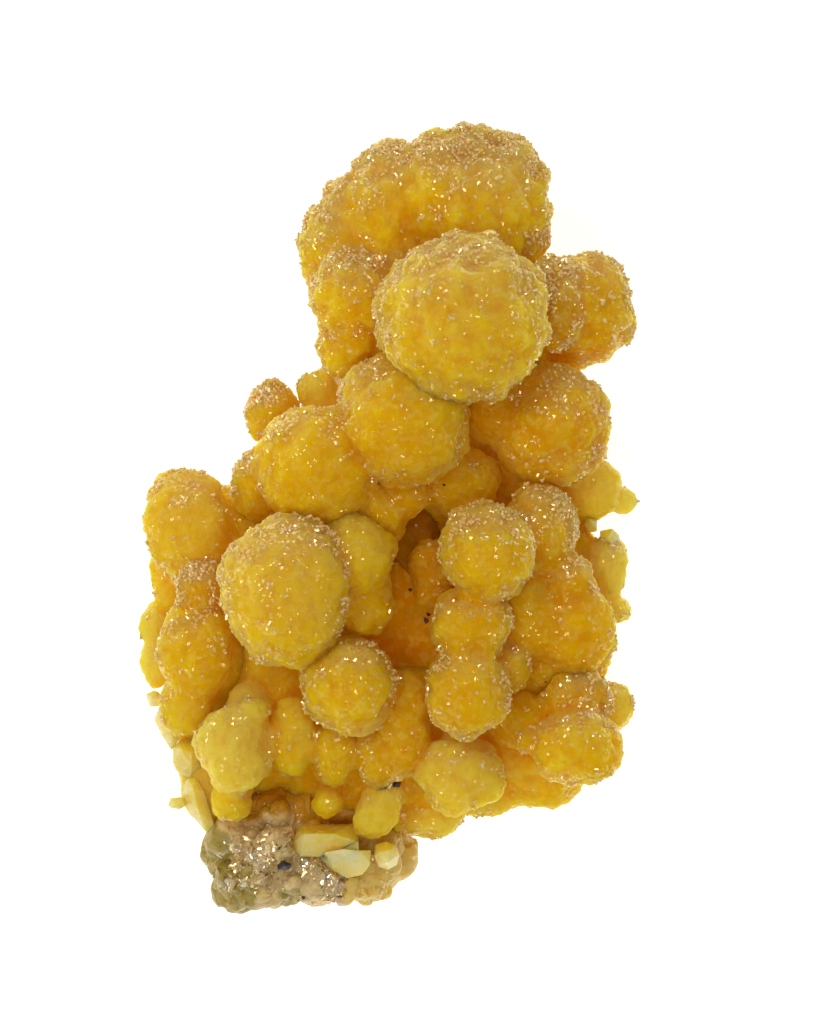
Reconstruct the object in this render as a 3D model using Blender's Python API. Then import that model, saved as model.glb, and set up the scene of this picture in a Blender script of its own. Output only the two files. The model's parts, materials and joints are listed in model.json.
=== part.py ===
"""A mimetite specimen: yellow balls grown into one crust on a piece of pale rock.

It lies on its back, on the flat underside of the rock, and is looked down on from above: X runs to the
viewer's right, Y to the specimen's top end, and Z towards the viewer. The origin is in the middle of its
outline, on the surface that it rests on. Sizes and places are in millimetres until MM turns them into metres.
"""

import math
from typing import NamedTuple

import bmesh
import bpy
import numpy
from mathutils import Euler, Matrix, Vector

MM = 0.001
GAP = 0.3              # clearance between touching pieces
REST_HEIGHT = 0.0      # height of the flat underside of the rock
ROOT_HEIGHT = 4.4      # height at which the balls spring from the crust
ROOT_PULL = 0.1        # how far a ball's root leans to the middle of the specimen, as a share of its distance
ROOT_WIDTH = 0.62      # a root's radius, as a share of its ball's
BALL_ROUGHNESS = 0.04  # how far the corners of a ball stand out or in, as a share of its radius
CRUST_ROUGHNESS = 0.06 # the same for the crust
ROCK_ROUGHNESS = 0.13  # the same for the angular blocks of the rock
FEWEST_CORNERS = 18    # corners on the smallest ball
SMALLEST_RADIUS = 0.5
CORNERS_PER_MM = 34    # more corners for each millimetre of radius above the smallest
ROOT_CORNERS = 12
CRUST_CORNERS = 90
BLOCK_CORNERS = 34
CRYSTAL_SIDES = 6
SHOULDER = 0.62        # where a crystal's bevelled ends begin, as a share of its half length
END_WIDTH = 0.62       # the width of a crystal's ends, as a share of its middle's
SHARP_ANGLE = 35.0     # degrees; edges that bend more are shaded sharp
SLAB_SIZE = 60.0
ROCK_GAP = 1.3 * GAP   # the clear space between the rock and the balls' crust
SKIN_DETAIL = 0.16     # size of the cells from which the balls' common surface is drawn again
MIMETITE_FACES = 7600
BALL_SEED, CRUST_SEED, PLATE_SEED, FOOT_SEED = 100, 300, 400, 500


class Ball(NamedTuple):
    """A ball of radiating crystals: centre, radii across and along its own axes, and lean to the left."""

    name: str
    x: float
    y: float
    z: float
    across: float
    along: float
    lean: float = 0.0


class Mass(NamedTuple):
    """A rounded or angular mass: centre and three radii."""

    name: str
    x: float
    y: float
    z: float
    wide: float
    long: float
    deep: float


class Crystal(NamedTuple):
    """A flat-sided crystal: middle, width, length and depth, turn about Z, and tilt about its own length."""

    name: str
    x: float
    y: float
    z: float
    wide: float
    long: float
    deep: float
    turn: float
    tilt: float


# The balls, from the top end of the specimen down
BALLS = [
    Ball("crown_right", 3.62, 12.47, 6.0, 3.0, 3.26),
    Ball("crown_left", 0.0, 12.15, 6.0, 2.15, 2.85),
    Ball("crown_left_low", -1.64, 10.7, 5.8, 1.9, 2.55),
    Ball("front_ball", 3.0, 7.95, 9.6, 3.4, 3.35),
    Ball("left_shoulder", -1.3, 8.85, 7.2, 1.85, 2.0),
    Ball("left_shoulder_low", -1.3, 6.95, 6.6, 1.42, 1.5),
    Ball("right_ear", 7.95, 8.53, 5.8, 1.95, 2.25),
    Ball("ear_neck", 6.68, 8.65, 7.2, 1.28, 1.95),
    Ball("right_middle", 6.55, 3.7, 6.8, 2.3, 2.4),
    Ball("right_middle_inner", 4.9, 4.6, 6.4, 1.8, 1.9),
    Ball("lemon_lobe", 8.0, 1.2, 5.2, 1.32, 1.35),
    Ball("lemon_tip", 9.3, 0.7, 4.4, 0.68, 0.56),
    Ball("centre_ball", 0.8, 3.75, 8.6, 2.5, 2.5),
    Ball("centre_ball_top", -0.1, 4.8, 8.0, 1.8, 1.8),
    Ball("centre_drip", 0.8, 1.05, 6.6, 0.95, 1.05),
    Ball("hollow_top_ball", 3.0, 1.45, 6.4, 1.5, 1.4),
    Ball("upper_left_ball", -2.8, 2.1, 7.6, 2.5, 2.5),
    Ball("upper_left_side", -5.0, 1.38, 6.2, 1.3, 1.42),
    Ball("upper_left_drip", -0.25, 0.25, 6.6, 0.85, 1.1),
    Ball("far_left_knob", -4.76, 4.2, 4.8, 1.14, 1.35),
    Ball("lemon_knob", -2.75, 5.2, 5.0, 0.85, 0.9),
    Ball("left_thumb_top", -7.98, -0.38, 6.0, 1.8, 2.45, 8.0),
    Ball("left_thumb_body", -8.75, -2.3, 5.3, 0.9, 1.6),
    Ball("left_lower_head", -7.45, -2.75, 7.2, 1.05, 1.15),
    Ball("left_lower_body", -7.62, -5.25, 6.6, 1.55, 2.2),
    Ball("left_lower_foot", -8.0, -7.35, 6.0, 1.2, 1.4),
    Ball("left_lower_side", -6.5, -6.25, 5.2, 0.9, 1.7),
    Ball("left_rim_upper", -9.35, -4.25, 4.9, 0.66, 0.9),
    Ball("left_rim_lower", -9.35, -5.8, 4.8, 0.72, 1.05),
    Ball("big_front_left", -4.04, -2.75, 9.4, 2.56, 2.9),
    Ball("big_front_left_low", -3.9, -4.2, 8.9, 2.1, 1.85),
    Ball("twin_top", -1.1, -1.5, 7.9, 1.4, 1.65),
    Ball("twin_body", -0.95, -3.2, 7.8, 1.25, 1.6),
    Ball("lower_centre", -1.6, -6.6, 8.4, 1.9, 1.95),
    Ball("lower_centre_right", 0.55, -8.15, 7.2, 1.2, 2.1),
    Ball("pale_cluster", -6.1, -9.2, 7.2, 1.5, 1.8),
    Ball("pale_cluster_knob", -5.35, -7.75, 7.6, 0.65, 0.72),
    Ball("pale_cluster_left", -7.2, -8.95, 6.8, 0.64, 0.64),
    Ball("pale_cluster_tip", -6.0, -10.7, 7.2, 0.5, 0.5),
    Ball("pale_cluster_low", -6.35, -11.3, 6.4, 0.8, 0.95),
    Ball("behind_pale", -5.7, -7.25, 6.0, 0.9, 0.8),
    Ball("low_row_left", -3.8, -8.8, 6.8, 0.96, 1.6),
    Ball("low_row_middle", -2.15, -9.4, 7.0, 0.88, 1.42),
    Ball("low_row_right", -0.4, -9.45, 7.1, 0.98, 1.16),
    Ball("low_small_ball", -2.5, -11.4, 6.1, 0.66, 0.6),
    Ball("low_small_egg", -0.35, -11.7, 6.5, 0.88, 1.24, -38.0),
    Ball("low_egg", 2.85, -10.2, 7.0, 1.75, 1.55),
    Ball("column_low", 3.15, -6.85, 8.6, 1.64, 2.0),
    Ball("column_middle", 3.25, -4.35, 8.4, 1.6, 1.6),
    Ball("column_top", 3.95, -1.3, 9.2, 1.95, 2.0),
    Ball("right_back_top", 6.1, -0.45, 7.4, 1.5, 1.9),
    Ball("right_back_middle", 7.1, -2.65, 7.0, 1.3, 1.4),
    Ball("right_back_body", 5.75, -3.65, 6.8, 1.5, 2.0),
    Ball("right_back_low", 7.5, -4.4, 6.8, 1.6, 1.8),
    Ball("small_brown", 4.95, -6.0, 7.0, 0.8, 0.96),
    Ball("small_between", 6.3, -6.05, 6.2, 0.72, 0.72),
    Ball("low_right_upper", 7.5, -7.3, 6.5, 1.35, 1.25),
    Ball("low_right_inner", 5.3, -8.15, 6.2, 1.28, 1.2),
    Ball("low_right_bump", 5.7, -8.85, 7.2, 0.72, 0.5),
    Ball("low_right_lobe", 8.9, -7.4, 5.2, 0.92, 1.0),
    Ball("low_right_big", 7.65, -9.14, 7.2, 1.84, 1.56),
    Ball("hollow_ball", 1.75, -2.0, 5.6, 0.96, 1.2),
    Ball("hollow_back", 1.1, -0.6, 4.4, 0.8, 0.8),
    Ball("right_rim_column", 8.75, -2.05, 4.8, 0.92, 1.4),
    Ball("right_rim_bump", 9.15, -3.68, 4.6, 0.64, 0.54),
    Ball("right_rim_small", 8.8, -4.8, 4.6, 0.5, 0.6),
    Ball("right_rim_smallest", 8.5, -5.65, 4.6, 0.5, 0.5),
    Ball("crown_middle", 2.15, 13.0, 6.6, 2.1, 2.45),
    Ball("crown_under", 0.7, 9.8, 6.4, 1.8, 1.8),
    Ball("crown_bump_high", 0.1, 14.35, 5.6, 1.0, 0.8),
    Ball("crown_bump_left", -1.75, 13.15, 5.4, 0.78, 0.74),
    Ball("crown_bump_low", -2.8, 11.9, 5.2, 0.76, 0.76),
    Ball("crown_bump_right", 5.9, 12.2, 6.0, 0.6, 0.7),
    Ball("between_left", -2.0, -0.3, 6.6, 1.0, 0.9),
]

# The crust that the balls stand on
CRUST = [
    Mass("crust_crown", 1.8, 11.7, 4.8, 4.1, 2.9, 2.0),
    Mass("crust_neck", 2.6, 7.2, 4.8, 4.4, 3.4, 2.6),
    Mass("crust_ear", 7.1, 7.8, 4.8, 1.9, 2.0, 1.6),
    Mass("crust_middle", 2.0, 2.6, 4.0, 6.4, 3.6, 2.2),
    Mass("crust_left", -5.8, -1.95, 4.2, 3.3, 3.25, 2.7),
    Mass("crust_heart", 1.2, -3.4, 4.0, 6.5, 4.0, 1.5),
    Mass("crust_right", 6.0, -4.0, 4.2, 3.0, 5.2, 2.2),
    Mass("crust_low_left", -5.0, -7.4, 4.2, 3.7, 3.6, 2.2),
    Mass("crust_left_edge", -7.42, -9.6, 4.2, 1.1, 2.7, 1.25),
    Mass("crust_low", 0.4, -9.0, 4.5, 5.6, 3.2, 1.9),
    Mass("crust_low_right", 5.9, -8.9, 4.4, 2.75, 2.7, 2.0),
    Mass("crust_fringe_left", 1.55, -12.0, 4.4, 1.45, 0.95, 1.2),
    Mass("crust_fringe_right", 3.5, -11.3, 4.4, 1.6, 0.65, 1.2),
]

# The rock behind the crust: the outline of a broken plate, then its rings as height and inset
PLATE_OUTLINE = [
    (-0.2, 13.4), (2.0, 14.0), (4.4, 13.2), (5.4, 11.0), (5.4, 9.4), (7.4, 8.8), (8.2, 7.4), (7.3, 5.8),
    (7.4, 3.0), (7.9, 0.6), (7.8, -2.0), (8.0, -5.2), (8.2, -8.0), (7.3, -9.7), (5.0, -10.7), (2.2, -11.5),
    (0.3, -12.4), (-1.0, -13.6), (-3.6, -13.9), (-6.0, -13.4), (-6.9, -11.6), (-7.8, -8.4), (-8.3, -5.0),
    (-8.1, -2.0), (-7.7, 0.1), (-5.4, 1.1), (-4.6, 3.4), (-3.1, 4.8), (-2.3, 7.6), (-2.5, 10.4), (-1.6, 12.3),
]
PLATE_RINGS = [(0.0, 0.35), (0.9, 0.0), (2.2, 0.15), (3.2, 0.95)]
PLATE_ROUGHNESS = 0.28 # how far the plate's corners stray, in millimetres

# The foot of the rock, which shows below the crust
FOOT = [
    Mass("foot_left", -5.1, -13.5, 2.6, 2.25, 2.12, 3.6),
    Mass("foot_middle", -3.2, -13.65, 2.7, 2.4, 1.82, 3.6),
    Mass("foot_right", -1.0, -13.5, 2.4, 1.9, 1.9, 3.2),
    Mass("foot_shelf", -3.4, -12.0, 2.6, 3.4, 1.9, 2.7),
    Mass("foot_knob_left", -6.2, -13.0, 4.6, 0.95, 0.8, 1.1),
    Mass("foot_knob_low", -5.0, -14.8, 4.4, 0.9, 0.95, 1.1),
    Mass("foot_knob_middle", -3.3, -14.6, 5.2, 0.95, 0.7, 1.0),
    Mass("foot_knob_right", -1.5, -14.6, 4.3, 0.9, 0.7, 1.0),
    Mass("foot_knob_ridge", -4.3, -13.1, 5.8, 0.9, 0.6, 0.8),
    Mass("cave_crystal", -4.6, -11.9, 5.0, 0.6, 0.65, 0.8),
    Mass("foot_corner", -6.0, -14.75, 3.2, 1.15, 1.15, 1.6),
]

FOOT_CRYSTALS = [
    Crystal("upper_block", -2.6, -12.8, 6.3, 2.7, 1.2, 1.4, -12.0, 10.0),
    Crystal("upper_face", -2.9, -13.2, 6.6, 1.2, 0.9, 1.2, 8.0, -14.0),
    Crystal("lower_block", -1.7, -13.6, 6.2, 2.1, 1.3, 1.5, -22.0, -8.0),
    Crystal("end_lump", -0.25, -13.6, 5.6, 0.9, 1.2, 1.2, 30.0, 12.0),
]

LEFT_RIM_CRYSTALS = [
    Crystal("top_prism", -9.35, -7.4, 5.0, 0.6, 1.0, 0.7, 12.0, 10.0),
    Crystal("upper_crystal", -8.95, -8.3, 5.1, 1.05, 1.95, 1.0, 18.0, -12.0),
    Crystal("middle_lump", -8.2, -9.7, 5.2, 1.25, 1.9, 1.2, 25.0, 20.0),
    Crystal("long_blade", -7.7, -11.2, 5.2, 1.0, 2.2, 0.9, 22.0, -18.0),
    Crystal("corner_cube", -8.3, -11.4, 5.0, 0.75, 0.6, 0.7, 20.0, 10.0),
]

# Material: colour, roughness
MIMETITE_FINISH = ((0.60, 0.34, 0.03), 0.42)
ROCK_FINISH = ((0.52, 0.42, 0.32), 0.60)
PALE_FINISH = ((0.66, 0.50, 0.15), 0.30)


def start_empty():
    """Remove whatever the file opened with."""
    for thing in list(bpy.data.objects):
        bpy.data.objects.remove(thing, do_unlink=True)


def material(name, finish):
    """A plain surface of one colour."""
    colour, roughness = finish
    made = bpy.data.materials.new(name)
    made.use_nodes = True
    shader = made.node_tree.nodes["Principled BSDF"]
    shader.inputs["Base Color"].default_value = (*colour, 1.0)
    shader.inputs["Roughness"].default_value = roughness
    shader.inputs["Metallic"].default_value = 0.0
    return made


def even_directions(count):
    """Unit vectors spread evenly over a sphere, along a golden-angle spiral."""
    golden_angle = math.pi * (3.0 - math.sqrt(5.0))
    directions = []
    for step in range(count):
        height = 1.0 - 2.0 * (step + 0.5) / count
        ring = math.sqrt(1.0 - height * height)
        turn = golden_angle * step
        directions.append(Vector((ring * math.cos(turn), ring * math.sin(turn), height)))
    return directions


def hull(points):
    """A closed mesh: the convex hull of some points, which keeps their order in a layer."""
    shape = bmesh.new()
    order = shape.verts.layers.int.new("order")
    for number, point in enumerate(points):
        shape.verts.new(point)[order] = number
    bmesh.ops.convex_hull(shape, input=shape.verts)
    loose = [corner for corner in shape.verts if not corner.link_faces]
    bmesh.ops.delete(shape, geom=loose, context="VERTS")
    bmesh.ops.recalc_face_normals(shape, faces=shape.faces)
    return shape


def as_object(name, shape):
    """Turn a shape in millimetres into an object in metres."""
    bmesh.ops.scale(shape, vec=(MM, MM, MM), verts=shape.verts)
    mesh = bpy.data.meshes.new(name)
    shape.to_mesh(mesh)
    shape.free()
    made = bpy.data.objects.new(name, mesh)
    bpy.context.collection.objects.link(made)
    return made


def ball(row, seed):
    """A faceted ball that runs back, narrowing, to its root in the crust."""
    randoms = numpy.random.default_rng(seed)
    mean_radius = 0.5 * (row.across + row.along)
    corners = FEWEST_CORNERS + max(0, round(CORNERS_PER_MM * (mean_radius - SMALLEST_RADIUS)))
    depth = min(row.across, row.along)
    turned = Matrix.Rotation(math.radians(row.lean), 3, "Z")
    centre = Vector((row.x, row.y, row.z))
    points = []
    for direction in even_directions(corners):
        offset = Vector((direction.x * row.across, direction.y * row.along, direction.z * depth))
        points.append(centre + turned @ offset)
    root = Vector((row.x * (1.0 - ROOT_PULL), row.y * (1.0 - ROOT_PULL), min(ROOT_HEIGHT, row.z)))
    for direction in even_directions(ROOT_CORNERS):
        points.append(root + direction * (ROOT_WIDTH * depth))
    shape = hull(points)
    order = shape.verts.layers.int["order"]
    for corner in shape.verts:
        if corner[order] < corners:
            swell = 1.0 + BALL_ROUGHNESS * randoms.uniform(-1.0, 1.0)
            corner.co = centre + (corner.co - centre) * swell
    return as_object(row.name, shape)


def mass(row, seed, corners, roughness, extra=0.0):
    """A rounded mass, or with more roughness an angular block; extra makes it larger all round."""
    randoms = numpy.random.default_rng(seed)
    turned = Euler(randoms.uniform(-math.pi, math.pi, 3)).to_matrix()
    shape = hull([turned @ direction for direction in even_directions(corners)])
    centre = Vector((row.x, row.y, row.z))
    for corner in shape.verts:
        swell = 1.0 + roughness * randoms.uniform(-1.0, 1.0)
        reach = Vector((row.wide + extra, row.long + extra, row.deep + extra)) * swell
        corner.co = centre + corner.co * reach
    return as_object(row.name, shape)


def crystal(row, extra=0.0):
    """A six-sided block with bevelled ends; extra makes it larger all round."""
    shape = bmesh.new()
    half_length = 0.5 * row.long + extra
    shoulder = SHOULDER * half_length
    rings = ((-half_length, END_WIDTH), (-shoulder, 1.0), (shoulder, 1.0), (half_length, END_WIDTH))
    half_side = math.pi / CRYSTAL_SIDES
    loops = []
    for along, share in rings:
        loop = []
        for side in range(CRYSTAL_SIDES):
            angle = (2 * side + 1) * half_side
            across = (0.5 * row.wide + extra) * share * math.cos(angle) / math.cos(half_side)
            out = (0.5 * row.deep + extra) * share * math.sin(angle)
            loop.append(shape.verts.new((across, along, out)))
        loops.append(loop)
    for lower, upper in zip(loops, loops[1:]):
        for side in range(CRYSTAL_SIDES):
            after = (side + 1) % CRYSTAL_SIDES
            shape.faces.new((lower[side], lower[after], upper[after], upper[side]))
    shape.faces.new(list(reversed(loops[0])))
    shape.faces.new(loops[-1])
    bmesh.ops.recalc_face_normals(shape, faces=shape.faces)
    placed = Matrix.Translation((row.x, row.y, row.z))
    placed = placed @ Matrix.Rotation(math.radians(row.turn), 4, "Z")
    placed = placed @ Matrix.Rotation(math.radians(row.tilt), 4, "Y")
    bmesh.ops.transform(shape, matrix=placed, verts=shape.verts)
    return as_object(row.name, shape)


def combine(base, others, operation):
    """Unite objects with a base, or cut them out of it, and remove them."""
    group = bpy.data.collections.new("operands")
    bpy.context.scene.collection.children.link(group)
    for other in others:
        group.objects.link(other)
    cut = base.modifiers.new(operation, "BOOLEAN")
    cut.operation = operation
    cut.solver = "EXACT"
    cut.operand_type = "COLLECTION"
    cut.collection = group
    seen = base.evaluated_get(bpy.context.evaluated_depsgraph_get())
    result = bpy.data.meshes.new_from_object(seen)
    base.modifiers.clear()
    base.data = result
    for other in others:
        bpy.data.objects.remove(other, do_unlink=True)
    bpy.data.collections.remove(group)
    return base


def grown_together(name, grown):
    """One solid from the pieces that grew into one another."""
    base = combine(grown[0], grown[1:], "UNION")
    base.name = name
    base.data.name = name
    return base


def keep_largest_shell(shape):
    """Delete the tiny closed pockets that a union leaves where several balls nearly meet."""
    unseen = set(shape.verts)
    shells = []
    while unseen:
        shell = []
        waiting = [unseen.pop()]
        while waiting:
            corner = waiting.pop()
            shell.append(corner)
            for edge in corner.link_edges:
                neighbour = edge.other_vert(corner)
                if neighbour in unseen:
                    unseen.remove(neighbour)
                    waiting.append(neighbour)
        shells.append(shell)
    shells.sort(key=len)
    for shell in shells[:-1]:
        bmesh.ops.delete(shape, geom=shell, context="VERTS")


def tidy_faces(piece, finish_name, finish):
    """Leave triangles only, shaded by their own sharp edges, in the piece's material."""
    shape = bmesh.new()
    shape.from_mesh(piece.data)
    keep_largest_shell(shape)
    bmesh.ops.triangulate(shape, faces=shape.faces)
    shape.to_mesh(piece.data)
    shape.free()
    piece.data.shade_smooth()
    piece.data.set_sharp_from_angle(angle=math.radians(SHARP_ANGLE))
    piece.data.materials.clear()
    piece.data.materials.append(material(finish_name, finish))


def even_faces(piece, count):
    """Draw a piece's surface again as one closed skin, with about as many triangles as asked for."""
    skin = piece.modifiers.new("skin", "REMESH")
    skin.mode = "VOXEL"
    skin.voxel_size = SKIN_DETAIL * MM
    seen = piece.evaluated_get(bpy.context.evaluated_depsgraph_get())
    dense = 2 * len(seen.data.polygons)    # the new skin's faces have four sides
    thin = piece.modifiers.new("thin", "DECIMATE")
    thin.ratio = count / dense
    seen = piece.evaluated_get(bpy.context.evaluated_depsgraph_get())
    result = bpy.data.meshes.new_from_object(seen)
    piece.modifiers.clear()
    piece.data = result


def plate(extra=0.0):
    """The broken plate of rock behind the crust; extra makes it larger all round."""
    randoms = numpy.random.default_rng(PLATE_SEED)
    shape = bmesh.new()
    loops = []
    for height, inset in PLATE_RINGS:
        loop = []
        top = height == PLATE_RINGS[-1][0]
        for number, (x, y) in enumerate(PLATE_OUTLINE):
            before = Vector(PLATE_OUTLINE[number - 1])
            after = Vector(PLATE_OUTLINE[(number + 1) % len(PLATE_OUTLINE)])
            along = (after - before).normalized()
            outward = Vector((-along.y, along.x))
            stray = Vector(randoms.uniform(-PLATE_ROUGHNESS, PLATE_ROUGHNESS, 2))
            spot = Vector((x, y)) + stray + outward * (extra - inset)
            loop.append(shape.verts.new((spot.x, spot.y, height + (extra if top else 0.0))))
        loops.append(loop)
    for lower, upper in zip(loops, loops[1:]):
        for number in range(len(lower)):
            after = (number + 1) % len(lower)
            shape.faces.new((lower[number], lower[after], upper[after], upper[number]))
    shape.faces.new(loops[0])
    shape.faces.new(loops[-1])
    bmesh.ops.triangulate(shape, faces=shape.faces)
    bmesh.ops.recalc_face_normals(shape, faces=shape.faces)
    return as_object("plate", shape)


def rock_pieces(extra=0.0):
    """The plate and the blocks of the foot, larger all round by extra."""
    pieces = [plate(extra)]
    for number, row in enumerate(FOOT):
        pieces.append(mass(row, FOOT_SEED + number, BLOCK_CORNERS, ROCK_ROUGHNESS, extra))
    return pieces


def slab_below(height):
    """A wide slab whose top is at a height."""
    shape = bmesh.new()
    bmesh.ops.create_cube(shape, size=SLAB_SIZE)
    bmesh.ops.translate(shape, vec=(0.0, 0.0, height - 0.5 * SLAB_SIZE), verts=shape.verts)
    return as_object("slab", shape)


def make_specimen():
    """Model the four pieces, each clear of its neighbours."""
    balls = [ball(row, BALL_SEED + number) for number, row in enumerate(BALLS)]
    crust = []
    for number, row in enumerate(CRUST):
        crust.append(mass(row, CRUST_SEED + number, CRUST_CORNERS, CRUST_ROUGHNESS))
    mimetite = grown_together("mimetite", balls + crust)
    rock = grown_together("matrix", rock_pieces())
    foot = grown_together("foot_crystals", [crystal(row) for row in FOOT_CRYSTALS])
    rim = grown_together("left_rim_crystals", [crystal(row) for row in LEFT_RIM_CRYSTALS])

    combine(rock, [slab_below(REST_HEIGHT)], "DIFFERENCE")
    combine(rock, [crystal(row, GAP) for row in FOOT_CRYSTALS + LEFT_RIM_CRYSTALS], "DIFFERENCE")
    combine(mimetite, [crystal(row, GAP) for row in FOOT_CRYSTALS + LEFT_RIM_CRYSTALS], "DIFFERENCE")
    combine(mimetite, rock_pieces(ROCK_GAP), "DIFFERENCE")

    even_faces(mimetite, MIMETITE_FACES)
    tidy_faces(mimetite, "mimetite yellow", MIMETITE_FINISH)
    tidy_faces(rock, "pale rock", ROCK_FINISH)
    tidy_faces(foot, "foot lemon", PALE_FINISH)
    tidy_faces(rim, "rim lemon", PALE_FINISH)


start_empty()
make_specimen()
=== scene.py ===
"""A mimetite specimen, dressed: frosted, glowing yellow balls on pale sparkling rock, seen from above.

The specimen lies on the flat back of its rock. X runs to the viewer's right, Y to the specimen's top end and
Z towards the viewer. The tables below are in millimetres; MM turns them into metres.
"""

import json
import math
from typing import NamedTuple

import bmesh
import bpy
import numpy as np
from bpy.props import FloatProperty, FloatVectorProperty, IntProperty, PointerProperty
from mathutils import Matrix, Vector, kdtree
from mathutils.bvhtree import BVHTree

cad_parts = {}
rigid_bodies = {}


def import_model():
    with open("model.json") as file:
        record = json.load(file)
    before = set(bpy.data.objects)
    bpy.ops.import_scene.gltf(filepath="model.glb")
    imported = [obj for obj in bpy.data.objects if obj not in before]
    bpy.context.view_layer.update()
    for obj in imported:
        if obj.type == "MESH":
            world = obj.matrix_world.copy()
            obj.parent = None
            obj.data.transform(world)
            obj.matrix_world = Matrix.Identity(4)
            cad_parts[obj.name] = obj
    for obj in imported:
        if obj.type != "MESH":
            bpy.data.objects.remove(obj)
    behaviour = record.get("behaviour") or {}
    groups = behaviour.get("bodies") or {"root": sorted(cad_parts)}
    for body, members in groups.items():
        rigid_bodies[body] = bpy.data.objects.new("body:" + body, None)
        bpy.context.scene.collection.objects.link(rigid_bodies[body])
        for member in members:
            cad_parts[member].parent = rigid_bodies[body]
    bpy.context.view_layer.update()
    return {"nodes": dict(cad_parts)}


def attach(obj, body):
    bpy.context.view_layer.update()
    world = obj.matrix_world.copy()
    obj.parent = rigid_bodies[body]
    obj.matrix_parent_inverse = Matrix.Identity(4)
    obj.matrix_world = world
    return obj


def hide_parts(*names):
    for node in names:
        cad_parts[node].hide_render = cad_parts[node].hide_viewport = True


bl_info = {
    "name": "Mimetite specimen",
    "version": (1, 0, 0),
    "blender": (4, 5, 0),
    "location": "View3D > Sidebar > Mimetite",
    "description": "Builds the looks of a mimetite specimen around its packed solids",
    "category": "Object",
}

MM = 0.001
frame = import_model()
ROOT_HEIGHT = 4.4      # height at which the balls spring from the crust
ROOT_PULL = 0.1        # how far a ball's root leans to the middle, as a share of its distance
ROOT_WIDTH = 0.62      # a root's radius, as a share of its ball's
ROOT_STEPS = 3         # rounds that make the neck between a ball and its root
EASE_ROUNDS = 22       # rounds of smoothing on the balls' common skin
EASE_FACTOR = 0.7      # how far each round moves a point
ROUND_LEVEL = 4        # subdivisions of the rounds that the skin is drawn over
CUT_HEIGHT = 2.7       # height at which the balls' crust ends on the rock
HOLLOW_SPACING = 0.5   # spacing of the places where hollowness is measured
HOLLOW_RAYS = 40       # rays cast from each of them, over a whole sphere
HOLLOW_LIFT = 0.3      # how far above the surface they start
HOLLOW_REACH = 5.0     # how far they look
HOLLOW_SLANT = 0.15    # least cosine between a ray and the surface's normal
HOLLOW_NEAREST = 3     # measured places that each point of the surface takes its value from
HOLLOW_BLEND = 0.05    # added to their distances, so that a place close by doesn't rule alone
KNOBBLY = {"mimetite_crown": 1.8, "mimetite_low": 1.2}    # groups with higher knobs, so many times
KNOBBY_REACH = (0.3, 1.5)    # a ball of the first radius has no knobs, one of the second has them in full
BLEND_WIDTH = 0.15     # how softly one ball's knobs go over into the next ball's
FROST_LOWEST = 3.6     # no small crystals grow below this height
BURIED_DEPTH = -0.05   # nor this far inside another group's balls
FOOT_LINE = -11.3      # the rock's foot lies below this height in the photograph's view
FOOT_OVERLAP = 0.25    # how far foot and plate run into each other
SOFT_SHARE = 0.92      # how much of a ball's shading follows its smooth form

# The low crystals that roughen a surface, as shares of their width
DRUSE_RISE = (0.35, 1.0)      # height of their tops
DRUSE_REACH = (0.08, 0.30)    # from a top's middle to its bevelled sides
DRUSE_BEVEL = 1.5             # how steeply the sides fall away
DRUSE_LIMITS = (-0.2, 1.6)    # lowest and highest point of the relief
HEX_SIDE = (0.5, 0.866)       # direction of the slanted sides, seen from above

# Small and large low crystals: width, as a share of the set one, and steepness
DRUSES = ((1.0, 0.9), (2.1, 0.7))         # on the balls
ROCK_DRUSES = ((1.0, 2.0), (2.6, 1.8))    # on the rock
SMALL_LEAST = 0.4      # height of the small ones where a surface is smooth, as a share of the full
LARGE_SHARE = 0.6      # height of the large ones on the balls, as a share of the full
ROCK_LARGE_SHARE = 1.9    # height of the large ones on the rock, as a share of the small

# The lumps of a surface; the rock's are widths and heights in metres
LUMP_INPUTS = ("Broad width", "Broad height", "Knob width", "Knob height")
ROCK_LUMPS = (1.6 * MM, 0.22 * MM, 0.5 * MM, 0.05 * MM)
ROCK_SEED = 50.0       # sets the rock's lumps apart from the balls'
ROCK_DRAWS = 20        # and its random draws
SPECK_DRAWS = 30       # and the specks'
FLOATS = {"data_type": "FLOAT"}

# The rock's thin flakes, the frosting of its crust and the dark specks
FLAKES_WITHIN = 0.9    # how thickly flakes grow in the flaky patches
FLAKES_ELSEWHERE = 0.24    # how thickly they grow outside them
STAIN_FADE = 0.6       # how far a stain thins them out
FLAKE_SPACING = 0.32   # least distance between them, as a share of their width
FLAKE_SHAPE = 0.45     # their width one way, as a share of that the other way
CRUST_SUGAR = 0.3      # how thickly small crystals grow on the lemon crust
SPECK_CORNERS = 10     # corners of a dark speck
HIGH_ABOVE = 30.0      # height from which the specks are dropped

# The balls' frost and the small crystals that grow in it
FROST_LEAST = 0.12     # frost, partly real frosting and partly painted sheen, where the surface turns down the picture, as a share of that at the top
EDGE_FROST = 0.6       # frost all round a ball's edge, as a share of that at the top; there it is partly painted sheen
HOLLOW_FADE = 0.7      # how far the frost fades in the hollows
ROUGH_LEAST = 0.35     # roughness without frost
FRONT_CALM = 0.85      # how far the roughness fades on what faces the viewer
RIM_LEAST = 0.4        # crystals along the lower edge, as a share of those along the upper
GROW_LEAST = 0.36      # crystals on a ball's front, as a share of those at its top
FROST_CLUSTERS = 1300.0    # clusters of crystals, in waves to the metre
FROST_DENSITY = 1.5    # crystals tried in each square of their spacing
FROST_TIP = 0.26       # radius of a crystal's tip, as a share of its width
FROST_SUNK = 0.6       # how much of its height is sunk in the skin
FROST_SIZES = (0.45, 1.35)    # smallest and largest crystal, as shares of the set size
PATCH_WIDTH = 0.6      # width of the rough patches, as a share of the broad lumps'

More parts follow.
